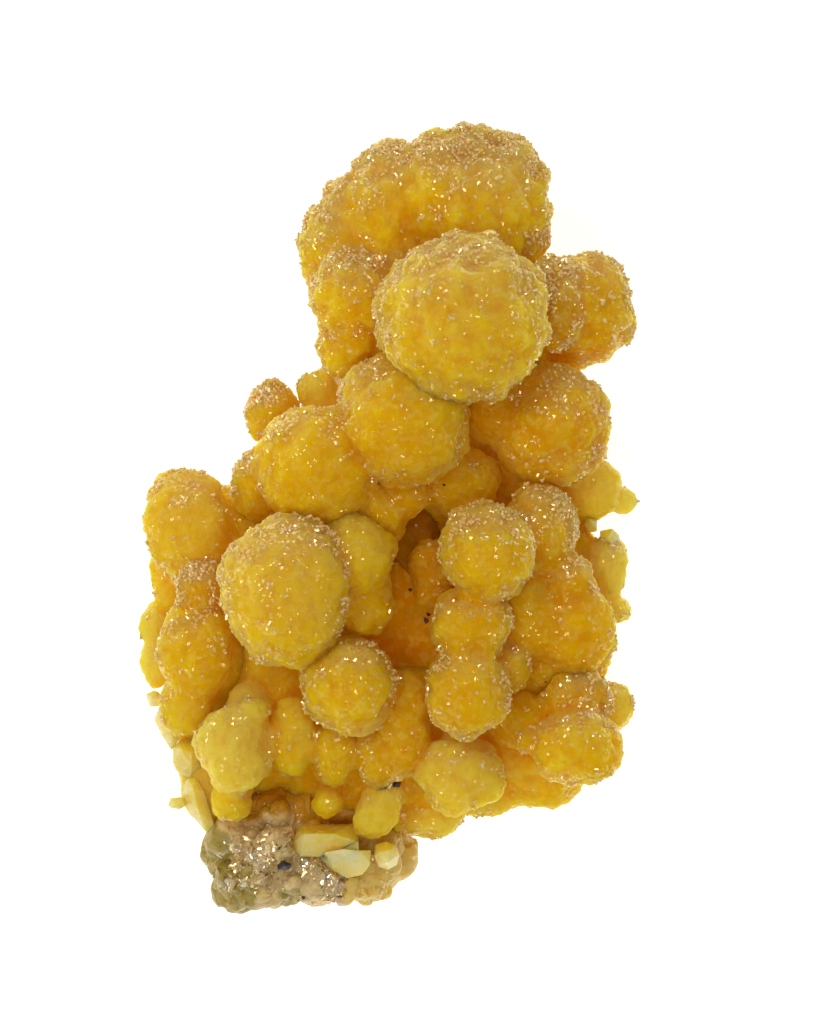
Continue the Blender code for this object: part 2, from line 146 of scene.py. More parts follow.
# How strongly each influence shows in the balls' colour
TONE_CLOUDS = 0.22     # clouds of darker and paler tone
PAINTED_SIDE_SHADE = 0.15      # painted shade: a warmer, darker tone where the surface turns aside from the viewer
PAINTED_TOP_LIGHT = 0.12     # painted light: a paler tone where the surface turns to the specimen's top, towards the key and top lamps
# painted shade: how much of the darker crevice colour the hollows between the balls take
CREVICE_SHADE_SHARE = 0.7
# how much of the frost colour the frosted places take: partly real frosting, partly painted sheen on tops and
# edges
FROST_SHARE = 0.8
GROOVE_SHARE = 0.4
FLECK_SHARE = 0.4
# painted shade: how much of the dark deepest colour the balls with a tone above 1 take
DEEP_HOLLOW_SHADE_SHARE = 0.8
GLINT_SHARE = 0.35
PAINTED_CREASE_GLOW = 0.05      # painted glow: emission in the deep creases that stands in for light coming through the crystal, as a share of white


class Ball(NamedTuple):
    """Centre and radii in millimetres, tone from pale lemon 0 to amber 1 and above 1 painted shade of a deep
    hollow, frost 0 to 1, lean in degrees.
    """

    x: float
    y: float
    z: float
    across: float
    along: float
    tone: float = 0.5
    frost: float = 0.5
    lean: float = 0.0
    deep: float = 0.0


BALLS = {
    "crown": {
        "crown_right": Ball(3.62, 12.47, 6.0, 3.0, 3.26, 0.45, 1.0),
        "crown_middle": Ball(2.15, 13.0, 6.6, 2.1, 2.45, 0.45, 1.0),
        "crown_left": Ball(0.0, 12.15, 6.0, 2.15, 2.85, 0.5, 1.0),
        "crown_left_low": Ball(-1.64, 10.7, 5.8, 1.9, 2.55, 0.45, 0.9),
        "crown_under": Ball(0.7, 9.8, 6.4, 1.8, 1.8, 0.6, 0.9),
        "front_ball": Ball(3.0, 7.95, 9.6, 3.4, 3.35, 0.4, 0.7),
        "left_shoulder": Ball(-1.3, 8.85, 7.2, 1.85, 2.0, 0.55, 0.9),
        "left_shoulder_low": Ball(-1.3, 6.95, 6.6, 1.42, 1.5, 0.5, 0.7),
        "right_ear": Ball(7.95, 8.53, 5.8, 1.95, 2.25, 0.65, 0.8),
        "ear_neck": Ball(6.68, 8.65, 7.2, 1.28, 1.95, 0.8, 1.4),
        "crown_bump_high": Ball(0.1, 14.35, 5.6, 1.0, 0.8, 0.5, 1.0),
        "crown_bump_left": Ball(-1.75, 13.15, 5.4, 0.78, 0.74, 0.6, 1.0),
        "crown_bump_low": Ball(-2.8, 11.9, 5.2, 0.76, 0.76, 0.5, 0.9),
        "crown_bump_right": Ball(5.9, 12.2, 6.0, 0.6, 0.7, 0.55, 1.0),
        "crust_crown": Ball(1.8, 11.7, 4.8, 4.1, 2.9, 0.5, 0.9, 0.0, 2.0),
        "crust_neck": Ball(2.6, 7.2, 4.8, 4.4, 3.4, 0.6, 0.5, 0.0, 2.6),
        "crust_ear": Ball(7.1, 7.8, 4.8, 1.9, 2.0, 0.7, 0.5, 0.0, 1.6),
    },
    "upper": {
        "right_middle": Ball(6.55, 3.7, 6.8, 2.3, 2.4, 0.75, 0.7),
        "right_middle_inner": Ball(4.9, 4.6, 6.4, 1.8, 1.9, 0.9, 0.7),
        "lemon_lobe": Ball(8.0, 1.2, 5.2, 1.32, 1.35, 0.25, 0.15),
        "lemon_tip": Ball(9.3, 0.7, 4.4, 0.68, 0.56, 0.0, 0.4),
        "centre_ball": Ball(0.8, 3.75, 8.6, 2.5, 2.5, 0.6, 0.45),
        "centre_ball_top": Ball(-0.1, 4.8, 8.0, 1.8, 1.8, 0.6, 0.8),
        "centre_drip": Ball(0.8, 1.05, 7.2, 0.95, 1.05, 0.8, 0.4),
        "hollow_top_ball": Ball(3.0, 1.45, 6.7, 1.5, 1.4, 0.65, 0.5),
        "upper_left_ball": Ball(-2.8, 2.1, 7.6, 2.5, 2.5, 0.55, 0.45),
        "upper_left_side": Ball(-5.0, 1.38, 6.2, 1.3, 1.42, 0.65, 0.9),
        "upper_left_drip": Ball(-0.3, 0.25, 7.3, 1.05, 1.2, 0.75, 0.4),
        "far_left_knob": Ball(-4.76, 4.2, 4.8, 1.14, 1.35, 0.6, 0.9),
        "lemon_knob": Ball(-2.75, 5.2, 5.0, 0.85, 0.9, 0.15, 0.4),
        "crust_middle": Ball(2.0, 2.6, 4.0, 6.4, 3.6, 0.75, 0.3, 0.0, 2.2),
    },
    "left": {
        "left_thumb_top": Ball(-7.98, -0.38, 6.0, 1.8, 2.45, 0.38, 0.6, 8.0),
        "left_thumb_body": Ball(-8.75, -2.3, 5.3, 0.9, 1.6, 0.4, 0.5),
        "left_lower_head": Ball(-7.45, -2.75, 7.2, 1.05, 1.15, 0.9, 1.6),
        "left_lower_body": Ball(-7.62, -5.25, 6.6, 1.55, 2.2, 0.5, 0.7),
        "left_lower_foot": Ball(-8.0, -7.35, 6.0, 1.2, 1.4, 0.4, 0.6),
        "left_lower_side": Ball(-6.5, -6.25, 5.6, 0.9, 1.7, 0.45, 0.4),
        "left_rim_upper": Ball(-9.35, -4.25, 4.9, 0.66, 0.9, 0.1, 0.6),
        "left_rim_lower": Ball(-9.35, -5.8, 4.8, 0.72, 1.05, 0.1, 0.6),
        "big_front_left": Ball(-4.04, -2.75, 9.4, 2.56, 2.9, 0.4, 0.65),
        "big_front_left_low": Ball(-3.9, -4.2, 8.9, 2.1, 1.85, 0.45, 0.6),
        "twin_top": Ball(-1.1, -1.5, 8.4, 1.4, 1.65, 0.4, 0.4),
        "twin_body": Ball(-0.95, -3.2, 7.8, 1.25, 1.6, 0.65, 0.5),
        "between_left": Ball(-1.85, -0.25, 7.9, 1.0, 0.85, 0.3, 0.7),
        "crust_left": Ball(-5.8, -1.95, 4.2, 3.3, 3.25, 0.6, 0.3, 0.0, 2.7),
    },
    "right": {
        "column_low": Ball(3.15, -6.85, 8.6, 1.64, 2.0, 0.65, 0.7),
        "column_middle": Ball(3.25, -4.35, 8.4, 1.6, 1.6, 0.7, 0.7),
        "column_top": Ball(3.95, -1.3, 9.2, 1.95, 2.0, 0.55, 0.7),
        "right_back_top": Ball(6.1, -0.45, 7.4, 1.5, 1.9, 0.75, 0.9),
        "right_back_middle": Ball(7.1, -2.65, 7.0, 1.3, 1.4, 0.85, 0.9),
        "right_back_body": Ball(5.75, -3.65, 6.8, 1.5, 2.0, 0.65, 0.45),
        "right_back_low": Ball(7.5, -4.4, 6.8, 1.6, 1.8, 0.7, 0.4),
        "small_brown": Ball(4.95, -5.95, 7.4, 0.88, 1.08, 0.7, 0.9),
        "small_between": Ball(6.3, -6.05, 6.2, 0.72, 0.72, 0.7, 0.4),
        # hollow_ball and hollow_back have tones above 1: painted shade of the deep hollow behind them
        "hollow_ball": Ball(1.8, -2.3, 6.5, 0.98, 1.55, 1.07, 0.6),
        "hollow_back": Ball(1.0, -0.75, 5.35, 1.1, 1.25, 1.15, 0.2),
        "right_rim_column": Ball(8.75, -2.05, 4.8, 0.92, 1.4, 0.1, 0.5),
        "right_rim_bump": Ball(9.15, -3.68, 4.6, 0.64, 0.54, 0.05, 0.5),
        "right_rim_small": Ball(8.8, -4.8, 4.6, 0.5, 0.6, 0.1, 0.5),
        "right_rim_smallest": Ball(8.5, -5.65, 4.6, 0.5, 0.5, 0.1, 0.5),
        "crust_heart": Ball(1.2, -3.4, 4.0, 6.5, 4.0, 0.85, 0.2, 0.0, 1.5),
        "crust_right": Ball(6.0, -4.0, 4.2, 3.0, 5.2, 0.6, 0.3, 0.0, 2.2),
    },
    "low": {
        "lower_centre": Ball(-1.6, -6.6, 8.4, 1.9, 1.95, 0.5, 0.65),
        "lower_centre_right": Ball(0.55, -8.15, 7.2, 1.2, 2.1, 0.75, 0.5),
        "pale_cluster": Ball(-6.1, -9.2, 7.4, 1.5, 1.8, 0.1, 0.25),
        "pale_cluster_knob": Ball(-5.35, -7.75, 7.9, 0.65, 0.72, 0.2, 0.5),
        "pale_cluster_left": Ball(-7.2, -8.95, 6.8, 0.64, 0.64, 0.1, 0.5),
        "pale_cluster_tip": Ball(-6.0, -10.7, 7.2, 0.5, 0.5, 0.1, 0.4),
        "pale_cluster_low": Ball(-6.35, -11.3, 6.4, 0.8, 0.95, 0.45, 0.4),
        "behind_pale": Ball(-5.7, -7.25, 6.6, 0.9, 0.8, 0.15, 0.4),
        "low_row_left": Ball(-3.8, -8.8, 6.8, 0.96, 1.6, 0.4, 0.5),
        "low_row_middle": Ball(-2.15, -9.4, 7.0, 0.88, 1.42, 0.6, 0.45),
        "low_row_right": Ball(-0.4, -9.45, 6.9, 0.98, 1.16, 0.65, 0.8),
        "low_small_ball": Ball(-2.5, -11.4, 6.0, 0.66, 0.6, 0.45, 0.35, 0.0, 0.95),
        "low_small_egg": Ball(-0.35, -11.7, 6.2, 0.84, 1.26, 0.3, 0.4, -38.0, 1.1),
        "low_egg": Ball(2.85, -10.2, 7.0, 1.75, 1.55, 0.25, 0.5),
        "low_right_upper": Ball(7.5, -7.3, 6.5, 1.35, 1.25, 0.85, 0.7),
        "low_right_inner": Ball(5.3, -8.15, 6.2, 1.28, 1.2, 0.6, 0.3),
        "low_right_bump": Ball(5.7, -8.85, 7.2, 0.72, 0.5, 0.7, 0.8),
        "low_right_lobe": Ball(8.9, -7.4, 5.2, 0.92, 1.0, 0.25, 0.5),
        "low_right_big": Ball(7.65, -9.14, 7.2, 1.84, 1.56, 0.5, 0.6),
        "crust_low_left": Ball(-5.0, -7.4, 4.2, 3.7, 3.6, 0.5, 0.3, 0.0, 2.2),
        "crust_left_edge": Ball(-7.42, -9.6, 4.2, 1.1, 2.7, 0.15, 0.2, 0.0, 1.25),
        "crust_fringe_left": Ball(1.55, -12.0, 4.4, 1.45, 0.95, 0.2, 0.7, 0.0, 1.2),
        "crust_fringe_right": Ball(3.5, -11.3, 4.4, 1.6, 0.65, 0.2, 0.7, 0.0, 1.2),
        "crust_low": Ball(0.4, -9.0, 4.5, 5.6, 3.2, 0.6, 0.6, 0.0, 1.9),
        "crust_low_right": Ball(5.9, -8.9, 4.4, 2.75, 2.7, 0.4, 0.3, 0.0, 2.0),
    },
}

# The view: the frame's middle on the specimen and its height, in metres
FRAME_MIDDLE = (0.96 * MM, 0.26 * MM)
FRAME_HEIGHT = 40.96 * MM
FOCUS_HEIGHT = 7.0 * MM
LENS = 300.0
SENSOR = 36.0
FLOOR_WIDTH = 3.0
FLOOR_GLOW = 0.76
SKY_STRENGTH = 0.27
LIGHT_TARGET = (0.0, 0.0, 6.0 * MM)
WHITE = (1.0, 1.0, 1.0, 1.0)

# Each light's place in metres, width in metres and power in watts
LIGHTS = {
    "key": ((-0.12, 0.10, 0.25), 0.09, 0.196),
    "front": ((-0.01, -0.11, 0.27), 0.09, 0.17),
    "left": ((-0.26, -0.04, 0.09), 0.08, 0.037),
    "right": ((0.25, 0.08, 0.08), 0.08, 0.01),
    "top": ((0.03, 0.27, 0.05), 0.08, 0.045),
}
LIGHT_TINT = (1.0, 0.93, 0.86)


class Patch(NamedTuple):
    """A round patch of the rock: its middle and reach."""

    x: float
    y: float
    reach: float


STAINS = [Patch(-7.0, -13.2, 0.8), Patch(-6.3, -14.7, 1.1), Patch(-3.9, -15.3, 0.5), Patch(-6.2, -15.6, 1.0)]
SHADES = [Patch(-2.2, -14.4, 0.7), Patch(-1.8, -14.7, 0.8)]
CRUSTS = [
    Patch(-0.3, -13.6, 1.5), Patch(0.6, -13.2, 1.3), Patch(-0.9, -14.9, 0.9), Patch(0.4, -14.6, 1.1),
    Patch(1.0, -12.6, 0.9), Patch(-0.6, -12.6, 0.8)]
# painted shadow: the brown patches of the rock under the lower balls
CAVE_SHADOWS = [Patch(-4.6, -10.9, 1.0), Patch(-3.0, -11.4, 1.1), Patch(-1.8, -11.7, 0.9), Patch(-5.6, -11.6, 0.7)]
FLAKES = [
    Patch(-5.5, -13.8, 1.1), Patch(-4.6, -13.2, 0.9), Patch(-5.8, -14.6, 0.7), Patch(-4.4, -13.9, 0.8),
    Patch(-2.5, -14.4, 0.7), Patch(-3.4, -14.0, 0.5), Patch(-1.9, -14.8, 0.4)]

# Corners of the flat-faced crystals, in millimetres; each crystal is the hull of its corners
FOOT_CRYSTALS = {
    "upper_block": [
        (-3.68, -12.54, 5.7), (-3.40, -12.30, 5.5), (-1.32, -12.28, 5.5), (-1.12, -12.66, 5.7),
        (-3.32, -12.62, 7.0), (-2.20, -12.62, 7.15), (-1.24, -12.94, 6.7), (-2.36, -13.58, 6.3),
        (-3.52, -13.54, 6.2), (-3.92, -13.10, 5.9), (-3.84, -12.62, 4.6), (-1.28, -12.38, 4.6),
        (-1.20, -13.10, 4.6), (-2.40, -13.58, 4.6), (-3.68, -13.50, 4.6)],
    "lower_block": [
        (-2.76, -13.58, 6.0), (-2.48, -13.34, 6.8), (-1.84, -13.22, 7.0), (-1.12, -13.30, 7.0),
        (-0.68, -13.30, 6.4), (-0.72, -13.90, 6.2), (-1.04, -14.30, 5.9), (-1.64, -14.46, 5.6),
        (-2.20, -14.14, 5.9), (-2.60, -13.70, 4.6), (-0.80, -13.50, 4.6), (-1.10, -14.30, 4.6),
        (-1.70, -14.40, 4.6)],
    "rising_corner": [
        (-1.72, -13.10, 6.5), (-1.20, -12.90, 6.7), (-1.16, -13.30, 6.9), (-1.80, -13.26, 6.6),
        (-1.30, -13.60, 5.4), (-1.76, -13.16, 5.0), (-1.16, -12.94, 5.0)],
    "end_lump": [
        (-0.50, -13.10, 6.0), (-0.10, -12.96, 6.1), (0.30, -13.10, 6.0), (0.46, -13.50, 5.9),
        (0.36, -13.90, 5.8), (0.00, -14.10, 5.8), (-0.38, -13.98, 5.9), (-0.56, -13.56, 6.1),
        (-0.30, -13.36, 6.6), (0.06, -13.30, 6.65), (0.24, -13.60, 6.5), (-0.04, -13.80, 6.5),
        (-0.50, -13.10, 4.6), (0.30, -13.10, 4.6), (0.30, -13.90, 4.6), (-0.40, -13.90, 4.6)],
}

LEFT_RIM_CRYSTALS = {
    "top_prism": [
        (-9.76, -7.06, 5.1), (-9.40, -6.90, 5.2), (-9.12, -7.30, 5.2), (-9.24, -7.56, 5.1),
        (-9.60, -7.58, 5.0), (-9.50, -7.20, 5.4), (-9.70, -7.10, 4.7), (-9.20, -7.00, 4.6),
        (-9.20, -7.56, 4.6), (-9.58, -7.56, 4.7)],
    "upper_crystal": [
        (-9.42, -8.10, 5.1), (-9.20, -7.54, 5.2), (-8.80, -7.50, 5.3), (-8.44, -8.12, 5.3),
        (-8.40, -8.86, 5.2), (-8.72, -9.34, 5.0), (-9.12, -8.72, 5.0), (-9.05, -8.00, 5.65),
        (-8.80, -8.05, 5.70), (-8.66, -8.80, 5.45), (-9.30, -7.80, 4.6), (-8.50, -7.80, 4.6),
        (-8.70, -9.30, 4.6)],
    "middle_lump": [
        (-8.66, -9.20, 5.1), (-8.28, -8.86, 5.2), (-7.84, -8.90, 5.3), (-7.52, -9.30, 5.3),
        (-7.50, -10.0, 5.2), (-7.92, -10.44, 5.1), (-8.40, -10.30, 5.0), (-8.68, -9.80, 5.0),
        (-8.30, -9.30, 5.7), (-7.90, -9.40, 5.8), (-7.90, -9.90, 5.7), (-8.50, -9.00, 4.6),
        (-7.60, -9.00, 4.6), (-7.60, -10.30, 4.6), (-8.60, -10.10, 4.6)],
    "long_blade": [
        (-8.24, -10.72, 5.2), (-8.06, -10.46, 5.3), (-7.74, -10.40, 5.4), (-7.40, -10.96, 5.5),
        (-7.20, -11.76, 5.4), (-6.96, -12.44, 5.2), (-7.30, -12.66, 5.0), (-7.92, -11.92, 5.0),
        (-8.26, -11.18, 5.1), (-7.84, -10.86, 5.85), (-7.64, -11.70, 5.75), (-8.10, -10.60, 4.6),
        (-7.30, -10.90, 4.6), (-7.00, -12.50, 4.6), (-7.90, -11.90, 4.6)],
    "corner_cube": [
        (-8.86, -11.56, 5.2), (-8.76, -11.24, 5.2), (-8.34, -11.20, 5.2), (-8.18, -11.44, 5.2),
        (-8.38, -11.70, 5.1), (-8.70, -11.66, 5.1), (-8.60, -11.40, 5.4), (-8.84, -11.50, 4.7),
        (-8.20, -11.20, 4.6), (-8.00, -11.50, 4.6), (-8.40, -11.72, 4.7)],
}

RIGHT_RIM_PRISMS = {
    "tall_prism": [
        (7.90, 0.16, 5.2), (8.20, 0.18, 5.3), (8.40, -0.10, 5.3), (8.40, -0.50, 5.2),
        (8.10, -0.56, 5.1), (7.88, -0.30, 5.1), (8.14, -0.10, 5.6), (7.90, 0.14, 4.4),
        (8.40, 0.00, 4.4), (8.36, -0.54, 4.4), (7.90, -0.50, 4.4)],
    "leaning_prism": [
        (8.52, -0.50, 5.2), (9.00, -0.40, 5.2), (9.32, -0.70, 5.1), (9.26, -1.30, 5.0),
        (8.80, -1.42, 5.0), (8.52, -1.10, 5.1), (8.86, -0.74, 5.6), (9.04, -1.04, 5.5),
        (8.56, -0.52, 4.4), (9.26, -0.60, 4.4), (9.20, -1.34, 4.4), (8.56, -1.30, 4.4)],
}

SPECKS = [
    Patch(0.36, -10.66, 0.28), Patch(1.64, -3.80, 0.17), Patch(1.54, -4.10, 0.17), Patch(0.90, -2.86, 0.13),
    Patch(2.24, 1.34, 0.10), Patch(-3.40, -15.22, 0.13), Patch(4.72, -10.50, 0.08), Patch(6.32, -6.54, 0.08)]

DARK_GRAIN = [
    (-4.46, -13.90, 6.55), (-4.20, -13.68, 6.65), (-3.84, -13.84, 6.6), (-3.98, -14.08, 6.5),
    (-4.40, -14.08, 6.5), (-4.14, -13.90, 6.75), (-4.40, -13.80, 5.9), (-3.90, -14.00, 5.9)]


class Wire:
    """A socket in a node tree. Sums, products and the like of wires and numbers add Math nodes."""

    def __init__(self, tree, socket=None):
        self.tree = tree
        self.socket = socket

    def node(self, kind, settings=None, values=None, result=0):
        """Add a node: its settings first, then the numbers or wires of its sockets."""
        made = self.tree.nodes.new(kind)
        for name, value in (settings or {}).items():
            if name == "stops":
                fill_ramp(made.color_ramp, value)
            else:
                setattr(made, name, value)
        for name, value in (values or {}).items():
            socket = find_socket(made.inputs, name)
            if isinstance(value, Wire):
                self.tree.links.new(value.socket, socket)
            else:
                socket.default_value = value
        return Wire(self.tree, find_socket(made.outputs, result))

    def other(self, name):
        """Another output of the node that this wire leaves."""
        return Wire(self.tree, find_socket(self.socket.node.outputs, name))

    def math(self, operation, *numbers, clamped=False):
        """A Math node on this wire and up to two more numbers or wires."""
        values = {place: number for place, number in enumerate((self, *numbers))}
        return self.node("ShaderNodeMath", {"operation": operation, "use_clamp": clamped}, values)

    def __add__(self, number):
        return self.math("ADD", number)

    def __sub__(self, number):
        return self.math("SUBTRACT", number)

    def __mul__(self, number):
        return self.math("MULTIPLY", number)

    def __rtruediv__(self, number):
        return self.node("ShaderNodeMath", {"operation": "DIVIDE"}, {0: number, 1: self})

    def __rsub__(self, number):
        return self.node("ShaderNodeMath", {"operation": "SUBTRACT"}, {0: number, 1: self})

    __radd__ = __add__
    __rmul__ = __mul__

    def clamp(self):
        """This number held between 0 and 1."""
        return self.math("ADD", 0.0, clamped=True)

    def step(self, low, high):
        """A smooth rise from 0 at low to 1 at high."""
        settings = {"interpolation_type": "SMOOTHSTEP"}
        return self.node("ShaderNodeMapRange", settings, {"Value": self, "From Min": low, "From Max": high})

    def mix(self, first, second):
        """The first colour where this mask is 0, and the second where it is 1."""
        values = {"Factor_Float": self}
        for name, colour in (("A_Color", first), ("B_Color", second)):
            values[name] = colour if isinstance(colour, Wire) else opaque(colour)
        return self.node("ShaderNodeMix", {"data_type": "RGBA", "clamp_factor": True}, values, "Result_Color")

    def vector(self, operation, values):
        """A Vector Math node on some numbered or named values."""
        return self.node("ShaderNodeVectorMath", {"operation": operation}, values)

    def combine(self, x, y, z):
        """A vector of three numbers or wires."""
        return self.node("ShaderNodeCombineXYZ", None, {"X": x, "Y": y, "Z": z})


def find_socket(sockets, key):
    """A socket by its place, its identifier or its name."""
    if key is None:
        return None
    if isinstance(key, int):
        return sockets[key]
    for socket in sockets:
        if socket.identifier == key:
            return socket
    return sockets[key]


def fill_ramp(ramp, stops):
    """Set a colour ramp's stops, given as place and colour."""
    while len(ramp.elements) > len(stops):
        ramp.elements.remove(ramp.elements[-1])
    while len(ramp.elements) < len(stops):
        ramp.elements.new(1.0)
    for element, (place, colour) in zip(ramp.elements, stops):
        element.position = place
        element.color = colour


def opaque(colour):
    """A colour with its alpha."""
    return (*colour, 1.0)


class Finish(Wire):
    """A material in the making: it adds nodes to its tree and knows its shader and the place on the piece."""

    def __init__(self, name, even):
        """The even values are the same all over the surface."""
        self.made = bpy.data.materials.new(name)
        self.made.use_nodes = True
        super().__init__(self.made.node_tree)
        self.shader = self.tree.nodes["Principled BSDF"]
        self.place = self.node("ShaderNodeTexCoord", result="Object")
        for socket, value in even.items():
            self.shader.inputs[socket].default_value = value

    def noises(self, *waves):
        """Noises from 0 to 1, each from its waves to the metre and its detail."""
        given = [{"Vector": self.place, "Scale": scale, "Detail": detail} for scale, detail in waves]
        return [self.node("ShaderNodeTexNoise", None, values) for values in given]

    def cells(self, scale):
        """A random colour for each small cell of the surface."""
        values = {"Vector": self.place, "Scale": scale}
        return self.node("ShaderNodeTexVoronoi", {"feature": "F1"}, values, "Color")

    def stored(self, *names):
        """The numbers that the mesh keeps for its points under some names."""
        settings = [{"attribute_name": name} for name in names]
        return [self.node("ShaderNodeAttribute", setting, result="Fac") for setting in settings]

    def ramp(self, place, *stops):
        """A colour between those of some stops, each given as place and colour."""
        stops = [(at, opaque(colour)) for at, colour in stops]
        return self.node("ShaderNodeValToRGB", {"stops": stops}, {"Fac": place}, "Color")

    def plug(self, wire, socket):
        """Link a wire to one of the shader's sockets."""
        self.tree.links.new(wire.socket, self.shader.inputs[socket])

    def bump(self, height, strength, distance):
        """Lay fine relief on the surface, from a height between 0 and 1."""
        values = {"Height": height, "Strength": strength, "Distance": distance}
        self.plug(self.node("ShaderNodeBump", None, values), "Normal")

    def facets(self, scale, lean):
        """Small cells whose normals lean at random, and each cell's own random number."""
        colour = self.cells(scale)
        offset = self.vector("SUBTRACT", {0: colour, 1: (0.5, 0.5, 0.5)})
        offset = self.vector("SCALE", {0: offset, "Scale": lean})
        normal = self.node("ShaderNodeNewGeometry", result="Normal")
        tilted = self.vector("NORMALIZE", {0: self.vector("ADD", {0: normal, 1: offset})})
        return tilted, self.node("ShaderNodeSeparateColor", None, {"Color": colour}, "Blue")

    def glints(self, normal, amount, tint, roughness):
        """Lay small mirror-like facets over the finish, as strong as the amount says from place to place."""
        values = {"Base Color": opaque(tint), "Metallic": 1.0, "Roughness": roughness, "Normal": normal}
        mirror = self.node("ShaderNodeBsdfPrincipled", None, values)
        values = {0: amount, 1: Wire(self.tree, self.shader.outputs[0]), 2: mirror}
        both = self.node("ShaderNodeMixShader", None, values)
        self.tree.links.new(both.socket, self.tree.nodes["Material Output"].inputs["Surface"])


def a_length(name, description, default, least=0.0):
    """A length that a user can set, given in millimetres."""
    return FloatProperty(
        name=name, description=description, default=default * MM, min=least * MM, subtype="DISTANCE",
        unit="LENGTH")


def a_colour(name, description, *default):
    """A colour that a user can set, in linear values."""
    return FloatVectorProperty(name=name, description=description, default=default, subtype="COLOR")


class SpecimenSizes(bpy.types.PropertyGroup):
    """Sizes of the fine surface."""

    skin_cell: a_length("Skin cell", "Spacing of the fine surface's points", 0.105, 0.04)
    broad_lump: a_length("Broad lump", "Height of the balls' broad lumps", 0.40)
    broad_width: a_length("Broad width", "Width of the balls' broad lumps", 2.0, 0.1)
    knob: a_length("Knob", "Height of the smaller knobs on the balls", 0.26)
    knob_width: a_length("Knob width", "Width of the smaller knobs on the balls", 0.85, 0.1)
    druse_width: a_length("Druse width", "Width of the low crystals that roughen the balls", 0.32, 0.05)
    druse_height: a_length("Druse height", "How far the low crystals stand out", 0.20)
    frost_spacing: a_length("Frost spacing", "Least distance between the frosting's crystals", 0.115, 0.05)
    frost_width: a_length("Frost width", "Width of the frosting's crystals", 0.17, 0.05)
    frost_height: a_length("Frost height", "Length of the frosting's crystals", 0.18, 0.05)
    frost_lean: FloatProperty(
        name="Frost lean", description="How far the frosting's crystals lean, at most",
        default=math.radians(45.0), min=0.0, subtype="ANGLE")
    flake_width: a_length("Flake width", "Width of the rock's thin flakes", 0.44, 0.05)
    flake_height: a_length("Flake thickness", "Thickness of the rock's thin flakes", 0.04, 0.01)
    foot_cell: a_length("Foot cell", "Spacing of the points of the rock's foot", 0.10, 0.05)
    plate_cell: a_length("Plate cell", "Spacing of the points of the rock's plate", 0.17, 0.05)
    rock_grain: a_length("Rock grain", "Width of the rock's flaky grains", 0.42, 0.05)
    rock_relief: a_length("Rock relief", "Height of the rock's flaky grains", 0.24)
    worn_edge: a_length("Worn edge", "Width of the flat-faced crystals' worn edges", 0.03)
    seed: IntProperty(name="Seed", description="Start of every random draw", default=7)


class SpecimenColours(bpy.types.PropertyGroup):
    """Colours of the minerals, as linear values."""

    lemon: a_colour("Lemon", "The palest balls", 0.85, 0.66, 0.11)
    gold: a_colour("Gold", "Most of the balls", 0.85, 0.52, 0.004)
    amber: a_colour("Amber", "The darkest balls", 0.74, 0.32, 0.001)
    # painted shade: the darker, deeper orange laid into the creases between the balls
    crevice_shade: a_colour("Crevice", "Between the balls", 0.78, 0.37, 0.001)
    groove: a_colour("Groove", "Darker grain of the balls", 0.72, 0.40, 0.012)
    # painted shade: the dark colour that stands for the shade at the back of the deepest hollow
    deepest: a_colour("Deepest", "The back of the deepest hollow", 0.30, 0.10, 0.002)
    frost: a_colour("Frost", "The frosted crystal tips", 0.70, 0.42, 0.12)
    flake: a_colour("Flake", "The rock's palest flakes", 0.95, 0.74, 0.37)
    rock_crust: a_colour("Rock's crust", "Lemon crust on the right of the rock", 0.82, 0.60, 0.14)
    # painted shadow: brown laid on the rock where it lies in shadow under the lower balls
    rock_cave_shadow: a_colour("Rock's cave", "Brown crust under the lower balls", 0.62, 0.33, 0.010)
    # painted light: the colour of the crystals' faces turned up the picture, raised for the little lamp light
    # that falls on them
    top_face_light: a_colour("Top face", "Crystals' faces turned up the picture", 0.98, 0.70, 0.02)
    fleck: a_colour("Fleck", "Paler grains in the balls", 0.90, 0.62, 0.09)
    sugar: a_colour("Sugar", "The palest of the small crystals", 0.97, 0.74, 0.34)
    rock: a_colour("Rock", "The rock's tan parts", 0.60, 0.45, 0.19)
    rock_pale: a_colour("Pale rock", "The rock's palest parts", 0.84, 0.64, 0.27)
    rock_pit: a_colour("Rock pit", "The rock's dark pits", 0.10, 0.06, 0.025)
    rock_stain: a_colour("Rock stain", "Green-yellow stains on the rock", 0.42, 0.32, 0.05)
    rock_shade: a_colour("Rock shade", "The purplish grey patch of the rock", 0.70, 0.51, 0.27)
    pale_crystal: a_colour("Pale crystal", "The lemon crystals of the foot and the rims", 0.98, 0.70, 0.15)
    milk: a_colour("Milk", "The crystals' milky places", 0.99, 0.79, 0.33)
    grain: a_colour("Grain", "The dark grains", 0.030, 0.014, 0.014)
    grain_light: a_colour("Light grain", "The dark grains' lighter faces", 0.10, 0.06, 0.05)
    floor: a_colour("Floor", "The pale floor", 0.92, 0.92, 0.92)


def sizes():
    """The sizes as the scene holds them."""
    return bpy.context.scene.specimen_sizes


def colours():
    """The colours as the scene holds them."""
    return bpy.context.scene.specimen_colours


